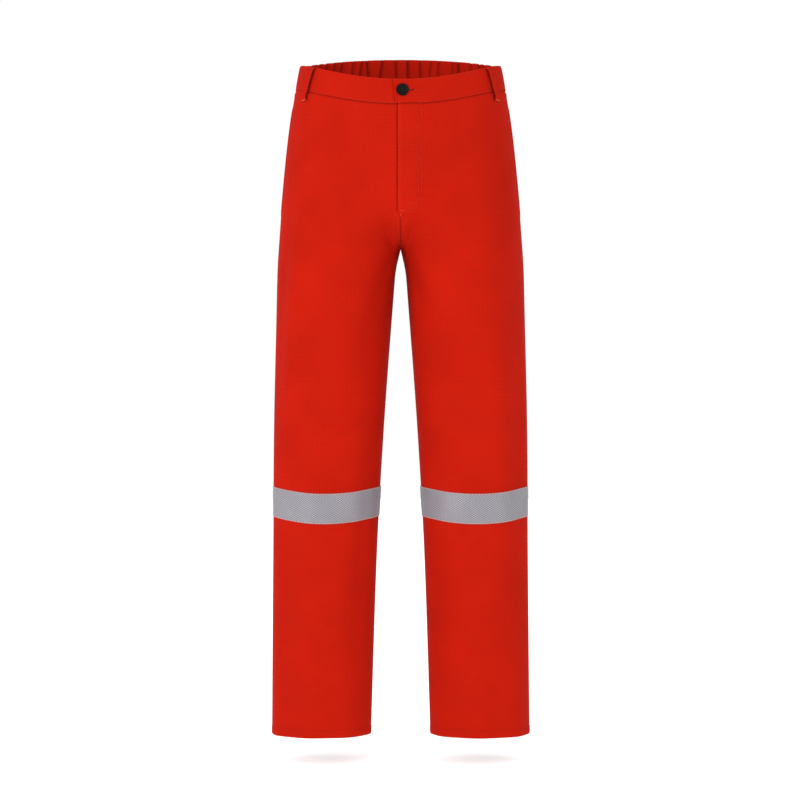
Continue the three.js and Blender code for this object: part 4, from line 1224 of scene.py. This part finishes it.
BAG_TOP, BAG_BOTTOM, BAG_REACH, BAG_WALL = 75.0, 261.0, 0.515, 0.35
edge_lines = []
for side_name, side in SIDES.items():
    way = np.linspace(0, 1, 121)
    level = np.linspace(BAG_TOP, BAG_BOTTOM, 90)
    way_grid, level_grid = grid_of(way, level)
    corner = 0.10 * smoothstep(level_grid, 215, BAG_BOTTOM) ** 2
    start = mouth_u(level_grid, 1.0)
    forward = 1 - np.abs(2 * way_grid - 1)
    from_u = np.where(way_grid < 0.5, start, -0.004)
    u_grid = lerp(from_u, -(BAG_REACH - corner), forward)
    closing = smoothstep(level_grid, BAG_BOTTOM - 34, BAG_BOTTOM - 6)
    gap = lerp(5.0, 0.85, closing) * smoothstep(forward, 1.0, 0.86) + 0.85
    turn = smoothstep(way_grid, 0.485, 0.515)
    near_mouth = smoothstep(np.abs(u_grid), 0.16, 0.02)
    rumple = 0.5 * ripple(u_grid * 3, level_grid * 3, 40 + side, 4, (2, 6), (0.6, 2))
    front_wall = 3.3 - 1.6 * near_mouth
    back_wall = 3.3 + gap - (gap + 0.8) * near_mouth * smoothstep(u_grid, -0.10, -0.01)
    inset = lerp(front_wall, back_wall, turn) + rumple * (1 - near_mouth)
    thick = BAG_WALL * np.cos(np.pi * turn)
    fold_out = -0.0022 * np.sin(np.pi * turn)
    grids = []
    for sign in (1, -1):
        place_u = u_grid + sign * fold_out
        grids.append(placed(side, skin(side, place_u, level_grid, sign * thick - inset)))
    piece = slab(f"{side_name}_pocket_bag", grids[0], grids[1], lining_cloth)
    finished(piece, "seat", "pocket_lining", f"{side_name}_side_pocket_bag")
    # The facing of shell cloth that shows inside the pocket's mouth.
    u_line = np.linspace(-0.13, 0.012, 30)
    facing_levels = np.linspace(MOUTH["top"] - 22, BAG_BOTTOM - 4, 90)
    u_grid, level_grid = grid_of(u_line, facing_levels)
    deep = 1.3 + 5.2 * smoothstep(-u_grid, 0.03, 0.13)
    grids = []
    for depth in (0.0, 0.8):
        grids.append(placed(side, skin(side, u_grid, level_grid, -deep - depth)))
    piece = slab(f"{side_name}_pocket_facing", grids[0], grids[1], shell_cloth)
    finished(piece, "seat", "shell_cloth")
    # Two rows of stitches along the mouth, with a bartack at each end.
    mouth_level = np.linspace(MOUTH["top"] + 1, MOUTH["bottom"] - 1, 90)
    for back in (2.2, 7.2):
        edge_lines.append(on_skin(side, mouth_u(mouth_level, back), mouth_level, 1.0))
    for at in (MOUTH["top"] - 2, MOUTH["bottom"] + 2):
        u_here = mouth_u(np.array(at), 4.0)
        centre, away = skin(side, u_here, at, 1.1), outward(u_here, np.array(float(at)))
        tacks.extend(level_bartack(side, centre, away))

PATCH = {"from": 0.35, "to": 0.79, "top": 106.0, "bottom": 243.0, "hem": 14.0, "chamfer": 13.0}
PATCH_WIDTH, PATCH_LENGTH = 128, 137


def patch_place(share_u, share_down):
    """(u, level) on a back pocket, whose lower corners are cut off."""
    u = lerp(PATCH["from"], PATCH["to"], share_u)
    corner = np.clip(1 - np.minimum(share_u, 1 - share_u) / 0.16, 0, 1)
    bottom = PATCH["bottom"] - PATCH["chamfer"] * corner
    return u, lerp(PATCH["top"], bottom, share_down)


def patch_lift(share_u, share_down):
    """Flat where it is sewn down and standing off where a hand goes in."""
    inside = smoothstep(np.minimum(share_u, 1 - share_u), 0.03, 0.35)
    pouch = inside * (1 - 0.75 * smoothstep(share_down, 0.0, 0.85))
    pouch = pouch * smoothstep(1 - share_down, 0.03, 0.25)
    return 0.9 + 5.2 * pouch


for side_name, side in SIDES.items():
    share = np.linspace(0, 1, 81)
    share_u, share_down = grid_of(rounded_rows(72, 1.0), share)
    u_grid, level_grid = patch_place(share_u, share_down)
    wobble = 0.25 * ripple(u_grid, level_grid, 50 + side, 4, (4, 9), (1, 3))
    lift = patch_lift(share_u, share_down) + wobble
    hem = 1 - smoothstep(level_grid - PATCH["top"], PATCH["hem"] - 1, PATCH["hem"] + 1)
    near_edge = np.minimum(np.minimum(share_u, 1 - share_u) * PATCH_WIDTH,
                           (1 - share_down) * PATCH_LENGTH)
    rim = bell(near_edge, 1.6)
    out = skin(side, u_grid, level_grid, lift + 0.5 - 0.35 * rim + 0.5 * hem)
    back = skin(side, u_grid, level_grid, lift - 0.45 + 0.2 * rim)
    wear_and_shade = 0.8 * bell(near_edge, 2.2) + 0.8 * bell(level_grid - PATCH["top"], 2.2)
    piece = slab(f"{side_name}_back_patch", placed(side, out), placed(side, back), shell_cloth,
                 None, np.clip(wear_and_shade, 0, 1))
    finished(piece, "seat", "shell_cloth", f"{side_name}_back_pocket")
    width = float(path_lengths(out[:, 40]).max()) * MM
    for margin in (2.2, 8.0):
        a, b = margin / PATCH_WIDTH, margin / PATCH_LENGTH
        steps = np.linspace(0, 1, 60)
        path_u = np.concatenate([a + 0 * steps, lerp(a, 1 - a, steps), 1 - a + 0 * steps])
        path_v = np.concatenate([lerp(0.01, 1 - b, steps), 1 - b + 0 * steps,
                                 lerp(1 - b, 0.01, steps)])
        u_line, level_line = patch_place(path_u, path_v)
        edge_lines.append(on_skin(side, u_line, level_line, patch_lift(path_u, path_v) + 0.6))
    across = np.linspace(0.02, 0.98, 60)
    for down in (2.4, PATCH["hem"] - 1.2):
        drop = down / PATCH_LENGTH
        u_line, level_line = patch_place(across, 0 * across + drop)
        edge_lines.append(on_skin(side, u_line, level_line, patch_lift(across, drop) + 1.1))
    for end in (0.045, 0.955):
        u_here, level_here = patch_place(np.array(end), np.array(0.02))
        away = outward(u_here, level_here)
        centre = skin(side, u_here, level_here, patch_lift(end, 0.02) + 1.2)
        tacks.extend(level_bartack(side, centre, away))

# ---- Seam stitches -----------------------------------------------------------------------------
for side_name, side in SIDES.items():
    lines = []
    level = np.linspace(42, HEM - 1, 620)
    for beside in (2.6, 8.4):
        lines.append(on_skin(side, beside / (200 + 0 * level), level, 0.35))
    inseam = np.linspace(CROTCH + 14, HEM - 1, 420)
    lines.append(on_skin(side, 1 - 2.6 / 230 + 0 * inseam, inseam, 0.35))
    around = np.linspace(-1, 1, 400)
    lines.append(on_skin(side, around, HEM - HEM_HEIGHT + 1.8 + 0 * around, 0.62))
    piece = stitching(f"{side_name}_leg_stitches", lines, seam_thread)
    knee_blend(piece, side_name, "shell_cloth")

back_level = np.linspace(14, CROTCH - 22, 150)
for beside in (0.0085, 0.030):
    edge_lines.append(on_skin(1, 1 - beside + 0 * back_level, back_level, 0.35))
front_level = np.linspace(FLY_BOTTOM + 6, CROTCH - 6, 20)
edge_lines.append(on_skin(1, u_at_x(2.6 + 0 * front_level, front_level), front_level, 0.35))
fly_lines = []
J_STRAIGHT, J_CENTRE = 220.0, 6.0
for half_width, half_height in ((22.4, 28.0), (27.2, 33.0)):
    down = np.linspace(72, J_STRAIGHT, 70)
    turn = np.linspace(0, np.pi / 2, 40)[1:]
    x = np.concatenate([J_CENTRE + half_width + 0 * down,
                        J_CENTRE + half_width * np.cos(turn), [2.0, -1.0]])
    low = J_STRAIGHT + half_height
    level = np.concatenate([down, J_STRAIGHT + half_height * np.sin(turn), [low, low]])
    fly_lines.append(on_skin(1, u_at_x(x, level), level, 0.36 + placket(x, level)))
for x, level, along in ((0.6, 253.5, (0, 0, 1)), (3.2, 249.0, (1, 0, 0))):
    u_here = u_at_x(x, level)
    centre = skin(1, u_here, np.array(level), 0.5 + placket(x, np.array(level)))
    away = outward(u_here, np.array(level))
    fly_lines.extend(bartack(1, centre, np.array(along, float), away, 7.0, 2.0))

sewn("fly_stitches", fly_lines, faded_thread, gap=0.7, radius=0.36)
sewn("seam_stitches", edge_lines)
sewn("band_stitches", left_band_lines + right_band_lines + casing_lines)
sewn("bartacks", tacks, tack_thread, stitch=1.8, gap=0.05, radius=0.22)
